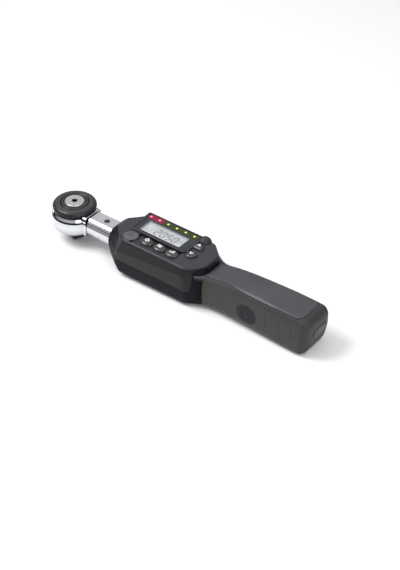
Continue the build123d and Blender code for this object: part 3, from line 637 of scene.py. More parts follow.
def smooth_through(stations, x, column):
    """A smooth curve through the stations' values in one column."""
    last = len(stations) - 2
    index = max(0, min(last, sum(station[0] <= x for station in stations) - 1))

    def slope(at):
        before, after = stations[max(at - 1, 0)], stations[min(at + 1, last + 1)]
        return (after[column] - before[column]) / (after[0] - before[0])

    first, second = stations[index], stations[index + 1]
    span = second[0] - first[0]
    t = (x - first[0]) / span
    return ((2 * t ** 3 - 3 * t ** 2 + 1) * first[column] + (t ** 3 - 2 * t ** 2 + t) * span * slope(index)
            + (3 * t ** 2 - 2 * t ** 3) * second[column] + (t ** 3 - t ** 2) * span * slope(index + 1))


def groove_depth(x, z, place):
    """How deep one shallow bowed groove lies at a point of the flank."""
    bow = 1.0 - ((z - RIB_Z) / RIB_HALF) ** 2
    if bow <= 0:
        return 0.0
    return RIB_DEPTH * min(1.0, 3 * bow) * exp(-((x - place + bow) / RIB_WIDTH) ** 2)


def handle_ring(x, inset, grooves):
    """One section of the handle: rounded corners, with slightly swelling flats between them."""
    half, top, bottom = (smooth_through(HANDLE_STATIONS, x, column) for column in (1, 2, 3))
    half, top, bottom = half - inset, top - inset, bottom + inset
    upper, lower = max(UPPER_R - inset, LEAST_R), max(LOWER_R - inset, LEAST_R)
    places = ((1, top - upper, upper, 0), (-1, top - upper, upper, 90),
              (-1, bottom + lower, lower, 180), (1, bottom + lower, lower, 270))
    corners = [arc_points(side * (half - radius), z, radius, start, start + 90, CORNER_STEPS)
               for side, z, radius, start in places]
    ring = []
    for index, corner in enumerate(corners):
        ring += corner
        start, end = Vector(corner[-1]), Vector(corners[(index + 1) % 4][0])
        out = Vector(FLATS[index])
        for step in range(1, FLAT_STEPS):
            part = step / FLAT_STEPS
            point = start.lerp(end, part) + out * SWELL * 4 * part * (1 - part)
            if out.x:
                point -= out * sum(groove_depth(x, point.y, place) for place in grooves)
            ring.append(tuple(point))
    return ring


def handle_solid(inset=0.0, start=RUBBER_FRONT, grooves=()):
    """The whole grip form from a place near its front to its rounded, leaning end."""
    rounding = END_ROUNDING - inset
    straight_end = FACE_X - inset - rounding
    count = round((straight_end - start) / RING_PITCH)
    sections = [(start + (straight_end - start) * index / count, 0.0) for index in range(count + 1)]
    for step in range(1, END_STEPS + 1):
        angle = radians(90 * step / END_STEPS)
        sections.append((straight_end + rounding * sin(angle), rounding * (1 - cos(angle)) * END_NARROWING))
    bm = bmesh.new()
    rows = []
    for x, extra in sections:
        reach = max(0.0, (x - FACE_X + LEAN_REACH) / LEAN_REACH) ** 2
        row = []
        for y, z in handle_ring(x, inset + extra, grooves):
            lean = (FACE_X - FOOT_X) * max(0.0, (LEAN_Z - z) / LEAN_DROP) ** LEAN_POWER * reach
            row.append(bm.verts.new(Vector((x - lean, y, z)) * MM))
        rows.append(row)
    skinned(bm, rows)
    bmesh.ops.recalc_face_normals(bm, faces=bm.faces)
    return bm


def spine_tool(gap=0.0):
    """A tall prism on the plan outline of the hard spine."""

    def half_width(x):
        return smooth_through(SPINE_STATIONS, x, 1) + gap

    corner_x = SPINE_END - SPINE_CORNER
    side = [(x / 2, half_width(x / 2)) for x in range(int(2 * SPINE_STATIONS[0][0]), int(2 * corner_x))]
    side += arc_points(corner_x, half_width(corner_x) - SPINE_CORNER, SPINE_CORNER + gap, 90, 0, CORNER_STEPS)
    return prisms([side + [(x, -y) for x, y in reversed(side)]], *SPINE_SPAN)


def seam_plane(shift=0.0):
    """A point and the rearward normal of the joint between the sleeve and the end cap."""
    (top_x, top_z), (foot_x, foot_z) = SEAM
    along = Vector((top_x - foot_x, 0, top_z - foot_z)).normalized()
    return (top_x + shift, 0, top_z), Vector((along.z, 0, -along.x))


# Geometry Nodes


def repeated(name, stamp, material, inputs, lay_out):
    """Repeats a small mesh with Geometry Nodes and returns the result as a plain mesh.

    The inputs are (name, kind, value) rows. A function lays out the points from the tree's inputs and
    returns them, with the turn of each copy or None."""
    tree = bpy.data.node_groups.new(name, "GeometryNodeTree")
    rows = [("Geometry", "Geometry", None), *inputs]
    made = [tree.interface.new_socket(label, in_out="INPUT", socket_type="NodeSocket" + kind)
            for label, kind, _ in rows]
    tree.interface.new_socket("Geometry", in_out="OUTPUT", socket_type="NodeSocketGeometry")
    entry = tree.nodes.new("NodeGroupInput")
    points, turn = lay_out(tree, entry.outputs)
    values = {"Points": points, "Instance": entry.outputs["Geometry"]}
    if turn:
        values["Rotation"] = turn
    copies = added(tree, "GeometryNodeInstanceOnPoints", values)
    real = added(tree, "GeometryNodeRealizeInstances", {"Geometry": copies.outputs["Instances"]})
    paint = added(tree, "GeometryNodeSetMaterial", {"Geometry": real.outputs["Geometry"],
                                                    "Material": material})
    added(tree, "NodeGroupOutput", {"Geometry": paint.outputs["Geometry"]})
    holder = placed(name, mesh_of(stamp, name))
    modifier = holder.modifiers.new(name, "NODES")
    modifier.node_group = tree
    for socket, (_, _, value) in list(zip(made, rows))[1:]:
        modifier[socket.identifier] = value
    result = evaluated(holder)
    holder.modifiers.remove(modifier)
    bpy.data.objects.remove(holder)
    return result


def line_points(tree, entry):
    """Points in a row: a start, an even offset and a count."""
    values = {"Count": entry["Count"], "Offset": entry["Offset"], "Start Location": entry["Start"]}
    return added(tree, "GeometryNodeMeshLine", values).outputs["Mesh"], None


def ring_points(tree, entry):
    """Points on the Z axis, each turned on by an even step."""
    points = added(tree, "GeometryNodePoints", {"Count": entry["Count"]}).outputs["Points"]
    index = tree.nodes.new("GeometryNodeInputIndex").outputs["Index"]
    turn = calc(tree, "DIVIDE", calc(tree, "MULTIPLY", index, radians(360)), entry["Count"])
    return points, added(tree, "ShaderNodeCombineXYZ", {"Z": turn}).outputs["Vector"]


# Operators, with their measures in millimetres


# painted reflections and shade on the chrome, as (height in millimetres, brightness): light and dark bands,
# and the wheel's shadow on the head
HEAD_REFLECTION_BANDS = ((0.0, 0.2), (1.5, 0.5), (4.0, 0.75), (8.0, 1.0), (12.3, 0.9), (12.8, 0.03), (14.0, 0.03),
              (14.4, 1.0), (15.7, 0.9), (16.2, 0.04), (17.4, 0.04), (17.8, 0.9), (19.0, 0.9))
HEAD_JOINTS = ((18.75, 20.4),)
SHANK_REFLECTION_BANDS = ((0.0, 0.5), (4.5, 0.85), (9.0, 1.0), (12.4, 0.9), (12.8, 0.05), (13.3, 0.05), (13.6, 0.8),
               (16.5, 0.9), (17.9, 1.15), (19.0, 1.2))


class WRENCH_OT_finishes(bpy.types.Operator):
    """Give every solid of the model its finish"""

    bl_idname = "wrench.finishes"
    bl_label = "Finishes"

    def execute(self, context):
        colours, _ = settings()
        steel = machined("Machined steel", (0.42, 0.43, 0.45))
        blackened_and_shaded_steel = machined("Blackened and shaded steel", (0.1, 0.1, 0.105), 0.35)
        screw_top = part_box("cap_screw")[1].z
        finishes = {
            # the head and the shank get their painted reflections and shade
            plated("Head plate", colours.chrome, HEAD_REFLECTION_BANDS, joints=HEAD_JOINTS): ("head_body",),
            plated("Shank plate", colours.chrome, SHANK_REFLECTION_BANDS, roughness=0.24): ("shank_tube",),
            # the drive is blackened steel; the head pin is darkened as painted shade of the hole it sits in
            blackened_and_shaded_steel: ("drive_gear", "head_pin"),
            steel: ("detent_ball", "detent_spring", "gear_retainer", "pawl", "pawl_pin",
                    "selector_plunger", "selector_spring", "load_pin", "rear_pin", "strain_beam",
                    "handle_frame", "housing_screws", "frame_screws", "battery_springs", "battery_contact"),
            # the screw's socket is darkened with painted shade
            turned_face("Faced steel", (0.62, 0.62, 0.63), screw_top): ("cap_screw",),
            # the wheel's walls are darkened with painted shade, and its level top is lightened with a painted
            # highlight
            moulded("Wheel plastic", shade(colours.wheel, 0.2), 0.32, 3000.0, 0.00003, specular=0.3,
                    zones=((painted_level_highlight, shade(colours.wheel, 3.6)),)): ("selector_wheel",),
            # the cover's upward faces get a painted highlight, a lighter copy of its colour
            moulded("Cover plastic", colours.cover, 0.4, specular=0.22,
                    zones=((painted_top_highlight, shade(colours.cover, 3.4)),)): ("housing_cover",),
            moulded("Lower shell plastic", colours.lower, 0.45, specular=0.08): ("housing_lower",),
            moulded("Seal rubber", (0.012, 0.012, 0.012), 0.7): ("nose_seal", "keypad"),
            moulded("Display housing", (0.5, 0.52, 0.55), 0.4): ("lcd_module",),
            moulded("Holder plastic", (0.6, 0.6, 0.58), 0.5): ("lcd_holder",),
            moulded("Red lamp resin", (0.6, 0.03, 0.05), 0.15): ("lamps_red",),
            moulded("Green lamp resin", (0.35, 0.5, 0.06), 0.15): ("lamps_green",),
            moulded("Board laminate", (0.01, 0.06, 0.03), 0.35): ("circuit_board",),
            machined("Gauge foil", (0.7, 0.45, 0.18)): ("strain_gauges",),
            moulded("Sounder plastic", (0.085, 0.085, 0.088), 0.25, specular=0.6):
                ("sounder", "sounder_cover"),
            moulded("Cell sleeve", (0.08, 0.085, 0.1), 0.3): ("battery_right", "battery_left"),
            moulded("Cradle plastic", (0.02, 0.02, 0.02), 0.5): ("battery_cradle",),
        }
        for material, names in finishes.items():
            for name in names:
                materials = nodes[name].data.materials
                if materials:
                    materials[0] = material
                else:
                    materials.append(material)
        return {"FINISHED"}


RIM_WIDTH = 0.9  # rim round the window
RIM_CORNER = 1.2
RIM_INNER_CORNER = 1.0
BORDER_CORNER = 0.8
BORDER_GAP = 0.35  # from the border to the lamp strips
BORDER_LEVELS = (0.1, 0.12)  # above the window's underside, and below its top
PANE_MARGINS = (4.8, -6.2, 1.7, -6.8)  # from the window's x and y limits to the clear pane
PANE_CORNER = 0.6
PANE_PLAY = 0.02
PANE_LEVELS = (1.0, 0.16)  # underside and top, both below the window's top
STRIP_NEAR = 4.8  # edges of the lamp strips, from the window's far edge
STRIP_FAR = 0.25
STRIP_MARGIN = 1.0  # from the window's ends to the strips
STRIP_CORNER = 0.4
STRIP_LAP = 0.3
STRIP_PLAY = 0.05
FIRST_LAMP = 1.8  # from the red lamps' end to the middle of the first
# colours of the painted glint and glow over the lamps
RED_GLOW = (1.0, 0.35, 0.4)
GREEN_GLOW = (0.75, 0.9, 0.25)


def limits(low, high, margins):
    """The x and y limits of a box, each moved by its own margin."""
    return [edge + margin for edge, margin in zip((low.x, high.x, low.y, high.y), margins)]


class WRENCH_OT_window(bpy.types.Operator):
    """Build the display window: printed border, clear pane and the tinted lamp strips"""

    bl_idname = "wrench.window"
    bl_label = "Display window"

    def execute(self, context):
        colours, sizes = settings()
        low, high = box_mm("display_window")
        bottom, top = low.z, high.z
        strip_low, strip_high = high.y - STRIP_NEAR, high.y - STRIP_FAR
        left, right, near = low.x + RIM_WIDTH, high.x - RIM_WIDTH, low.y + RIM_WIDTH
        pane = limits(low, high, PANE_MARGINS)
        ring = ring_between(rounded_box(low.x, high.x, low.y, high.y, RIM_CORNER),
                            rounded_box(left, right, near, strip_high, RIM_INNER_CORNER), bottom, top)
        edge = piece("window_rim", ring, "wrench",
                     moulded("Window rim", (0.02, 0.022, 0.027), 0.2))
        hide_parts("display_window")
        border = moulded("Printed border", (0.03, 0.034, 0.042), 0.14, 3000.0, 0.000004)
        ring = ring_between(rounded_box(left, right, near, strip_low - BORDER_GAP, BORDER_CORNER),
                            rounded_box(*pane, PANE_CORNER),
                            bottom + BORDER_LEVELS[0], top - BORDER_LEVELS[1])
        piece("window_border", ring, "wrench", border)
        outline = grown_box(pane, -PANE_PLAY, PANE_CORNER - PANE_PLAY)
        glass = prisms([outline], top - PANE_LEVELS[0], top - PANE_LEVELS[1])
        piece("window_pane", glass, "wrench", display_glass("Clear pane"))
        first = box_mm("lamps_red")[0].x + FIRST_LAMP
        split = first + sizes.lamp_pitch / MM * (sizes.red_count - 0.5)
        middle = (strip_low + strip_high) / 2
        for name, slot, start, end, base, glow in (
                ("lamp_strip_red", "lamp_red", low.x + STRIP_MARGIN, split - STRIP_PLAY,
                 colours.red_lamps, RED_GLOW),
                ("lamp_strip_green", "lamp_green", split + STRIP_PLAY, high.x - STRIP_MARGIN,
                 colours.green_lamps, GREEN_GLOW)):
            title = name.replace("_", " ").capitalize()
            material = tinted_strip(title, base, glow, sizes.lamp_pitch, first * MM, middle * MM)
            outline = rounded_box(start, end, strip_low - STRIP_LAP, strip_high - STRIP_PLAY, STRIP_CORNER)
            strip = prisms([outline], bottom + BORDER_LEVELS[0], top - STRIP_PLAY)
            piece(name, strip, "wrench", material)
        return {"FINISHED"}


FACE_MARGINS = (4.6, -6.0, 1.5, -6.6)  # from the window's x and y limits to the display's face
FACE_CORNER = 0.3
FACE_THICK = 0.12
INK_THICK = 0.04
DIGITS = "2050"
SEGMENTS = {"0": "abcdef", "2": "abged", "5": "afgcd"}
DIGIT_START = 10.6  # from the left edge of the display's face
DIGIT_STEP = 0.8  # this and the next two are shares of a digit's height
DIGIT_WIDTH = 0.5
DIGIT_THICK = 0.16
DIGIT_SLANT = 0.12  # how far a digit leans over in x for its height in y
SEGMENT_INSET = 0.6  # share of its thickness by which a segment stops short of its corner
POINT_PLACE = 1.72  # the decimal point, in digits from the first
POINT_SPAN_X = (-0.1, 0.7)
POINT_SPAN_Y = (-0.3, 0.5)
POINT_CORNER = 0.2
BAR_SIZE = (0.7, 0.9)
BAR_COUNT = 12
BAR_STEP = 1.5
BAR_RISE = 1.0  # from the near edge of the display's face to the scale


def digit_outlines(symbol, x, y, height):
    """Outlines of one seven-segment digit, slanted a little, drawn from its lower left corner."""
    width = height * DIGIT_WIDTH
    thick = height * DIGIT_THICK
    bars = {
        "a": ((0, height), (width, height)),
        "b": ((width, height), (width, height / 2)),
        "c": ((width, height / 2), (width, 0)),
        "d": ((0, 0), (width, 0)),
        "e": ((0, height / 2), (0, 0)),
        "f": ((0, height), (0, height / 2)),
        "g": ((0, height / 2), (width, height / 2)),
    }
    outlines = []
    for key in SEGMENTS[symbol]:
        start, end = (Vector(point) for point in bars[key])
        along = (end - start).normalized()
        side = Vector((-along.y, along.x)) * thick / 2
        start, end = start + along * thick * SEGMENT_INSET, end - along * thick * SEGMENT_INSET
        corners = [start - along * thick / 2, start + side, end + side, end + along * thick / 2, end - side,
                   start - side]
        outlines.append([(x + point.x + DIGIT_SLANT * point.y, y + point.y) for point in corners])
    return outlines


class WRENCH_OT_display(bpy.types.Operator):
    """Build the display's face and its digits"""

    bl_idname = "wrench.display"
    bl_label = "Display"

    def execute(self, context):
        colours, sizes = settings()
        under = box_mm("lcd_module")[1].z
        top = under + FACE_THICK
        face = limits(*box_mm("display_window"), FACE_MARGINS)
        layer = prisms([rounded_box(*face, FACE_CORNER)], under, top)
        piece("display_face", layer, "wrench", display_layer("Display layer", colours.lcd))
        ink = moulded("Display segments", (0.045, 0.05, 0.075), 0.4)
        height = sizes.digit_height / MM
        start_x, start_y = face[0] + DIGIT_START, (face[2] + face[3]) / 2 - height / 2
        outlines = []
        for index, symbol in enumerate(DIGITS):
            outlines += digit_outlines(symbol, start_x + index * height * DIGIT_STEP, start_y, height)
        point_x = start_x + POINT_PLACE * height * DIGIT_STEP
        outlines.append(rounded_box(*(point_x + edge for edge in POINT_SPAN_X),
                                    *(start_y + edge for edge in POINT_SPAN_Y), POINT_CORNER))
        piece("display_digits", prisms(outlines, top, top + INK_THICK), "wrench", ink)
        wide, tall = BAR_SIZE
        stamp = prisms([[(0, 0), (wide, 0), (wide, tall), (0, tall)]], 0, INK_THICK)
        bar = repeated("Scale bars", stamp, ink, (
            ("Count", "Int", BAR_COUNT), ("Offset", "Vector", [BAR_STEP * MM, 0, 0]),
            ("Start", "Vector", [start_x * MM, (face[2] + BAR_RISE) * MM, top * MM])), line_points)
        piece("display_scale", bar, "wrench", ink)
        return {"FINISHED"}


KEY_ROUND = ellipse(0, 0, 5.5, 4.15)
KEY_DOWN = soft_corners([(-2.9, -3.6), (1.7, -3.9), (5.2, 3.1), (-4.6, 3.3)], 2.4)
KEY_UP = [(x, -y) for x, y in reversed(KEY_DOWN)]
KEY_SHAPES = {"clear": KEY_ROUND, "unit": KEY_ROUND, "memory": KEY_ROUND, "down": KEY_DOWN, "up": KEY_UP}
KEY_SINK = 3.0  # how far the wall of a key reaches below its rim
KEY_RIM = 1.5  # from the rim to the top of the dome
KEY_RISE = 0.35  # how far the dome stands above the plain key
KEY_SHARP = 50  # edges above this angle stay sharp, in degrees
KEY_MARKS = {  # lines about the middle of each key
    "clear": [arc_points(0, 0, 1.35, 130, 410), [(0, 0.4), (0, 2.1)]],
    "unit": [[(-1.9, 0.6), (1.9, 0.6)], [(-1.9, -0.7), (1.9, -0.7)], [(-0.9, 1.5), (-1.9, 0.6)],
             [(0.9, -1.6), (1.9, -0.7)]],
    "memory": [[(-1.5, -1.3), (-1.5, 0.2)], [(0, -1.3), (0, 0.9)], [(1.5, -1.3), (1.5, 1.6)]],
    "down": [[(-1.3, 1.1), (0, -0.7), (1.3, 1.1)]],
    "up": [[(-1.3, -1.1), (0, 0.7), (1.3, -1.1)]],
}
MARK_WIDTH = 0.75
MARK_SHIFT = 0.5  # how far the marks sit off the middle, towards the lamps
MARK_SINK = 0.3


class WRENCH_OT_keys(bpy.types.Operator):
    """Build the domed tops of the five keys"""

    bl_idname = "wrench.keys"
    bl_label = "Keys"

    def execute(self, context):
        colours, _ = settings()
        plastic = moulded("Key plastic", colours.keys, 0.27, 3000.0, 0.00002, specular=0.6)
        for name, outline in KEY_SHAPES.items():
            low, high = box_mm("button_" + name)
            crown = high.z + KEY_RISE
            rim = crown - KEY_RIM
            mesh = finished(domed(outline, (low + high) / 2, rim - KEY_SINK, rim, crown),
                            "key_top_" + name, KEY_SHARP)
            made = piece("key_top_" + name, mesh, "key_" + name, plastic)
            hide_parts("button_" + name)
        return {"FINISHED"}


class WRENCH_OT_marks(bpy.types.Operator):
    """Print the marks on the five keys"""

    bl_idname = "wrench.marks"
    bl_label = "Key marks"

    def execute(self, context):
        colours, sizes = settings()
        white = moulded("Mark print", colours.marks, 0.4)
        for name, strokes in KEY_MARKS.items():
            low, high = box_mm("button_" + name)
            middle = (low + high) / 2
            crown = high.z + KEY_RISE
            outlines = [[(x + middle.x, y + middle.y + MARK_SHIFT) for x, y in stroke(line, MARK_WIDTH)]
                        for line in strokes]
            mark = prisms(outlines, crown - MARK_SINK, crown + sizes.print_height / MM)
            piece("mark_" + name, mark, "key_" + name, white)
        return {"FINISHED"}


WHEEL_RIB_PROFILE = (  # distance from the wheel's rim, and height
    (-1.4, 17.5), (-0.1, 18.3), (0.3, 19.0), (0.3, 20.0), (-0.5, 21.3), (-1.6, 21.9), (-2.6, 21.6),
    (-2.0, 18.0))
WHEEL_RIB_HALF = 0.36


class WRENCH_OT_knurl(bpy.types.Operator):
    """Set the ribs round the rim of the selector wheel"""

    bl_idname = "wrench.knurl"
    bl_label = "Wheel ribs"

    def execute(self, context):
        colours, sizes = settings()
        low, high = box_mm("selector_wheel")
        rim = (high.x - low.x) / 2
        profile = [(rim + out, z) for out, z in WHEEL_RIB_PROFILE]
        stamp = prisms([profile], -WHEEL_RIB_HALF, WHEEL_RIB_HALF, "y")
        # the ribs are the wheel's plastic lightened 3.2 times, a painted highlight on their crests
        plastic = moulded("Rib plastic", shade(colours.wheel, 3.2), 0.33, 3000.0, 0.00002, specular=0.35)
        ribs = repeated("Wheel ribs", stamp, plastic, (("Count", "Int", sizes.wheel_ribs),), ring_points)
        piece("wheel_ribs", ribs, "selector", plastic)
        return {"FINISHED"}


PADS = {"grip_pad_right": (-30, -8), "grip_pad_left": (8, 30)}  # reach in y of each pad's cutting tool
PAD_GROWTH = 1.15  # how much wider than the plain solid the dressed pad is
PAD_SINK = 0.15
PAD_PLAY = 0.15  # gap between a pad and the sleeve
GROOVE_HALF = 0.18
GROOVE_DEPTH = 0.35
GROOVE_REACH = (-20, 40)  # lowest and highest z of the tools that cut the grooves
TOOL_LEAD = 1.0  # how far a hollowing tool starts ahead of what it hollows


def pad_tool(name, growth=0.0):
    """An oval tool across the flank, on the place of a thumb pad."""
    low, high = box_mm(name)
    middle, half = (low + high) / 2, (high - low) / 2 * PAD_GROWTH
    return prisms([ellipse(middle.x, middle.z, half.x + growth, half.z + growth)], *PADS[name], "y")


def latch_outline(margin, radius):
    """Outline of the latch key across the wrench, moved outward by a margin."""
    low, high = box_mm("latch_button")
    return grown_box((low.y, high.y, low.z, high.z), margin, radius)


def grip_inside(depth):
    """The tool that hollows the grip to a depth below its surface."""
    return handle_solid(depth, RUBBER_FRONT - TOOL_LEAD)


SPINE_SHORT = 0.3  # how far ahead of the seam the spine stops
SPINE_DEEP = 0.4  # how far the spine reaches below the rubber's inner face
LINING_GAP = 0.2  # between the sleeve and the lining inside it
LINING_DEEP = 2.0
LINING_FRONT = 166.0
LINING_SHORT = 3.4
PLUG_DEEP = 2.3  # outside of the cap's plug, below the rubber's inner face
PLUG_OVER = 0.6  # how far the plug reaches past the seam
HOLLOW_DEEP = 3.6
HOLLOW_FRONT = 200.0
HOLLOW_SHORT = 1.6
CAP_GAP = 0.1  # between the sleeve and the cap
CAP_TOOL_FRONT = 180.0  # where the form starts that the cap's skin is cut from
LATCH_GAP = 0.3  # round the latch key
LATCH_WELL = (223.6, 240.0)  # x of the well's floor and of its cutting tool's end
LATCH_PLAY = 0.1
LATCH_FRONT = 224.9
LATCH_CORNER = 3.3
LATCH_BEVEL = 0.5


class WRENCH_OT_grip(bpy.types.Operator):
    """Build the grip: rubber sleeve, hard core with its spine, and the end cap"""

    bl_idname = "wrench.grip"
    bl_label = "Grip"

    def execute(self, context):
        colours, _ = settings()
        self.sleeve(colours)
        self.core(colours)
        self.latch(colours)
        self.cap(colours)
        return {"FINISHED"}

    def sleeve(self, colours):
        bm = behind_plane(handle_solid(grooves=RIB_PLACES), *seam_plane())
        bm = carved(bm, grip_inside(RUBBER_THICK))
        bm = carved(bm, spine_tool(SPINE_GAP))
        bm = carved(bm, joined(*(pad_tool(name, PAD_PLAY) for name in PADS)))
        rubber = moulded("Grip rubber", colours.rubber, 0.62, 1800.0, 0.00006, 0.06, 0.12, 0.2)
        made = piece("grip_sleeve", finished(bm, "grip_sleeve"), "wrench", rubber)
        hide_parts("grip_rubber")

    def core(self, colours):
        """The modelled front as it is, the spine, and a thin lining inside the sleeve."""
        front = behind_plane(node_copy("handle_shell"), (SHELL_JOINT, 0, 0), (1, 0, 0))
        spine = behind_plane(handle_solid(start=SHELL_JOINT), *seam_plane(-SPINE_SHORT))
        spine = carved(spine, spine_tool(), "INTERSECT")
        spine = carved(spine, handle_solid(RUBBER_THICK + SPINE_DEEP, SHELL_JOINT - TOOL_LEAD))
        lining = handle_solid(RUBBER_THICK + LINING_GAP, SHELL_JOINT)
        lining = behind_plane(lining, *seam_plane(-LINING_SHORT))
        lining = carved(lining, handle_solid(RUBBER_THICK + LINING_DEEP, LINING_FRONT))
        # the collar is darkened with painted shade, and its specular is lowered
        plastic = moulded("Handle plastic", colours.handle, 0.36, specular=0.4,
                          zones=((collar_shade_zone, shade(colours.lower, 0.7)),))
        tree = plastic.node_tree
        gloss = spread(tree, collar_shade_zone(tree), 0.4, 0.05)
        fill(tree, tree.nodes["Principled BSDF"], {"Specular IOR Level": gloss})
        mesh = finished(joined(front, spine, lining), "handle_core")
        made = piece("handle_core", mesh, "wrench", plastic)
        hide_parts("handle_shell")

    def latch(self, colours):
        face_x = box_mm("latch_button")[1].x
        key = prisms([latch_outline(-LATCH_PLAY, LATCH_CORNER)], LATCH_FRONT, face_x, "x")
        bmesh.ops.recalc_face_normals(key, faces=key.faces)
        face_edges = [edge for edge in key.edges
                      if all(vert.co.x > face_x * MM - TINY for vert in edge.verts)]
        bmesh.ops.bevel(key, geom=face_edges, offset=LATCH_BEVEL * MM, segments=3, affect="EDGES",
                        profile=0.5)
        grey = moulded("Latch plastic", shade(colours.end_cap, 1.25), 0.38)
        latch = piece("latch_key", finished(key, "latch_key"), "latch", grey)
        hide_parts("latch_button")

    def cap(self, colours):
        """The skin behind the seam with a well for the latch key, and the plug ahead of it."""
        point, normal = seam_plane(CAP_GAP)
        skin = behind_plane(handle_solid(start=CAP_TOOL_FRONT), point, -normal)
        well = prisms([latch_outline(LATCH_GAP, LATCH_CORNER + LATCH_GAP)], *LATCH_WELL, "x")
        skin = carved(skin, well)
        plug = handle_solid(RUBBER_THICK + PLUG_DEEP, box_mm("end_cap")[0].x)
        hollow = handle_solid(RUBBER_THICK + HOLLOW_DEEP, HOLLOW_FRONT)
        plug = carved(behind_plane(plug, *seam_plane(PLUG_OVER)),
                      behind_plane(hollow, *seam_plane(-HOLLOW_SHORT)))
        plastic = moulded("Cap plastic", colours.rubber, 0.5, 1800.0, 0.00005, 0.06, 0.0, 0.25,
                          zones=((end_face_zone, colours.end_cap),))
        made = piece("cap_body", finished(joined(skin, plug), "cap_body"), "cap", plastic)
        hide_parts("end_cap")


class WRENCH_OT_pads(bpy.types.Operator):
    """Build the two thumb pads with their fine upright ridges"""

    bl_idname = "wrench.pads"
    bl_label = "Thumb pads"

    def execute(self, context):
        colours, sizes = settings()
        rubber = moulded("Pad rubber", colours.pad, 0.5, 1800.0, 0.00005)
        near, far = GROOVE_REACH
        for name, reach in PADS.items():
            pad = carved(handle_solid(PAD_SINK), pad_tool(name), "INTERSECT")
            pad = carved(pad, grip_inside(RUBBER_THICK))
            low, high = box_mm(name)
            half = (high.x - low.x) / 2 * PAD_GROWTH
            outlines = []
            for index in range(sizes.pad_grooves):
                x = (low.x + high.x) / 2 + half * ((index + 1) / (sizes.pad_grooves + 1) * 2 - 1)
                left, right = x - GROOVE_HALF, x + GROOVE_HALF
                outlines.append([(left, near), (right, near), (right, far), (left, far)])
            bars = carved(prisms(outlines, *reach, "y"), grip_inside(PAD_SINK + GROOVE_DEPTH))
            pad = carved(pad, bars)
            made = piece(name.replace("grip", "thumb"), finished(pad, name), "wrench", rubber)
            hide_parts(name)
        return {"FINISHED"}


# The studio, in metres


FLOOR_TIP = -0.0109  # the floor's height under the drive's tip
FLOOR_END = -0.0071  # and under the handle's end
FLOOR_RUN = 0.219  # from the one to the other
FLOOR_REACH = 4.0
LIGHTS = (  # name, place, size, share of the main light's power
    ("key", (-0.45, -0.35, 0.85), 0.6, 1.0), ("fill", (0.8, -0.3, 0.6), 0.8, 0.4))
LIGHT_AIM = (0.1, 0, 0)
CAMERA_AIM = (0.105, 0, 0.0094)
CAMERA_ROLL = 0.17
CAMERA_SHIFT = (0.0334, -0.0336)
SKY = ((0.0, (0.55, 0.55, 0.56)), (0.1, (0.03, 0.03, 0.035)), (0.22, (0.06, 0.06, 0.065)),
       (0.4, (0.5, 0.51, 0.53)), (0.65, (0.75, 0.76, 0.78)), (0.8, (1.0, 1.0, 1.0)), (1.0, (1.0, 1.0, 1.0)))


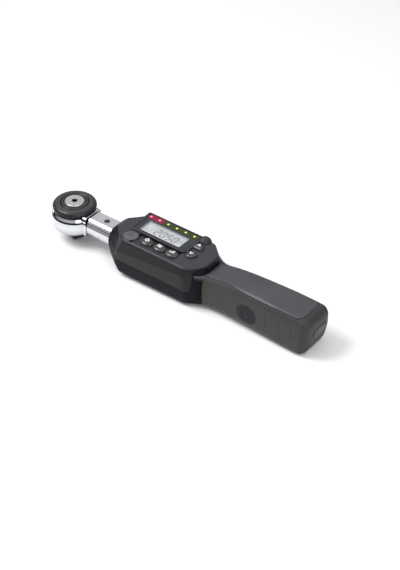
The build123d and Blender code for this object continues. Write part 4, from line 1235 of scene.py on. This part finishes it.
class WRENCH_OT_stage(bpy.types.Operator):
    """Set up the floor, the lights, the world and the camera"""

    bl_idname = "wrench.stage"
    bl_label = "Studio"

    def execute(self, context):
        studio = context.scene.wrench_studio
        self.floor(studio)
        self.world()
        self.lights(studio)
        self.camera(studio)
        context.scene.view_settings.view_transform = "Standard"
        return {"FINISHED"}

    def floor(self, studio):
        """A pale floor under the drive's tip and the handle's end, which is how the wrench lies."""
        slope = (FLOOR_END - FLOOR_TIP) / FLOOR_RUN
        reach = FLOOR_REACH
        corners = [(x, y, FLOOR_TIP + slope * x)
                   for x, y in ((-reach, -reach), (reach, -reach), (reach, reach), (-reach, reach))]
        mesh = bpy.data.meshes.new("floor")
        mesh.from_pydata(corners, [], [(0, 1, 2, 3)])
        made = placed("floor", mesh)
        material, tree, shader = new_material("Floor paper")
        fibres = noise(tree, object_place(tree), 8.0)
        fill(tree, shader, {"Base Color": toned(tree, fibres, studio.floor, 0.995, 1.0), "Roughness": 0.9,
                            "Specular IOR Level": 0.1})
        mesh.materials.append(material)

    def world(self):
        world = bpy.data.worlds.new("Studio")
        bpy.context.scene.world = world
        world.use_nodes = True
        tree = world.node_tree
        height = split_axes(tree, tree.nodes.new("ShaderNodeTexCoord").outputs["Generated"])[2]
        sky = ramp(tree, spread(tree, height, 0.0, 1.0, -0.1, 1.0), SKY)
        fill(tree, tree.nodes["Background"], {"Color": sky, "Strength": 0.8})

    def lights(self, studio):
        for name, place, size, share in LIGHTS:
            lamp = bpy.data.lights.new(name, "AREA")
            lamp.shape = "DISK"
            lamp.size = size
            lamp.energy = studio.key_light * share
            made = placed(name, lamp)
            made.location = place
            made.rotation_euler = (Vector(LIGHT_AIM) - Vector(place)).to_track_quat("-Z", "Y").to_euler()

    def camera(self, studio):
        data = bpy.data.cameras.new("camera")
        data.lens = studio.camera_lens
        data.sensor_fit = "VERTICAL"
        data.sensor_height = 36.0
        data.shift_x, data.shift_y = CAMERA_SHIFT
        data.clip_start = 0.05
        data.dof.use_dof = False
        made = placed("camera", data)
        across = cos(studio.elevation)
        away = Vector((sin(studio.azimuth) * across, -cos(studio.azimuth) * across, sin(studio.elevation)))
        made.location = Vector(CAMERA_AIM) + away * studio.distance
        made.rotation_euler = away.to_track_quat("Z", "Y").to_euler()
        made.rotation_euler.rotate_axis("Z", radians(CAMERA_ROLL))
        bpy.context.scene.camera = made


OPERATORS = (WRENCH_OT_finishes, WRENCH_OT_window, WRENCH_OT_display, WRENCH_OT_keys, WRENCH_OT_marks,
             WRENCH_OT_knurl, WRENCH_OT_grip, WRENCH_OT_pads, WRENCH_OT_stage)
GROUPS = {"wrench_colours": WrenchColours, "wrench_sizes": WrenchSizes, "wrench_studio": StudioSettings}


class WRENCH_PT_sidebar(bpy.types.Panel):
    """Lists the steps that dress the wrench."""

    bl_idname = "WRENCH_PT_sidebar"
    bl_label = "Torque wrench"
    bl_space_type = "VIEW_3D"
    bl_region_type = "UI"
    bl_category = "Wrench"

    def draw(self, context):
        for operator in OPERATORS:
            self.layout.operator(operator.bl_idname)
        for name in GROUPS:
            box = self.layout.box()
            group = getattr(context.scene, name)
            for key in group.__annotations__:
                box.prop(group, key)


def register():
    for name, group in GROUPS.items():
        bpy.utils.register_class(group)
        setattr(bpy.types.Scene, name, PointerProperty(type=group))
    for operator in OPERATORS:
        bpy.utils.register_class(operator)
    bpy.utils.register_class(WRENCH_PT_sidebar)


def unregister():
    bpy.utils.unregister_class(WRENCH_PT_sidebar)
    for operator in reversed(OPERATORS):
        bpy.utils.unregister_class(operator)
    for name, group in GROUPS.items():
        delattr(bpy.types.Scene, name)
        bpy.utils.unregister_class(group)


def main():
    register()
    for step in ("finishes", "window", "display", "keys", "marks", "knurl", "grip", "pads", "stage"):
        getattr(bpy.ops.wrench, step)()


if __name__ == "__main__":
    main()
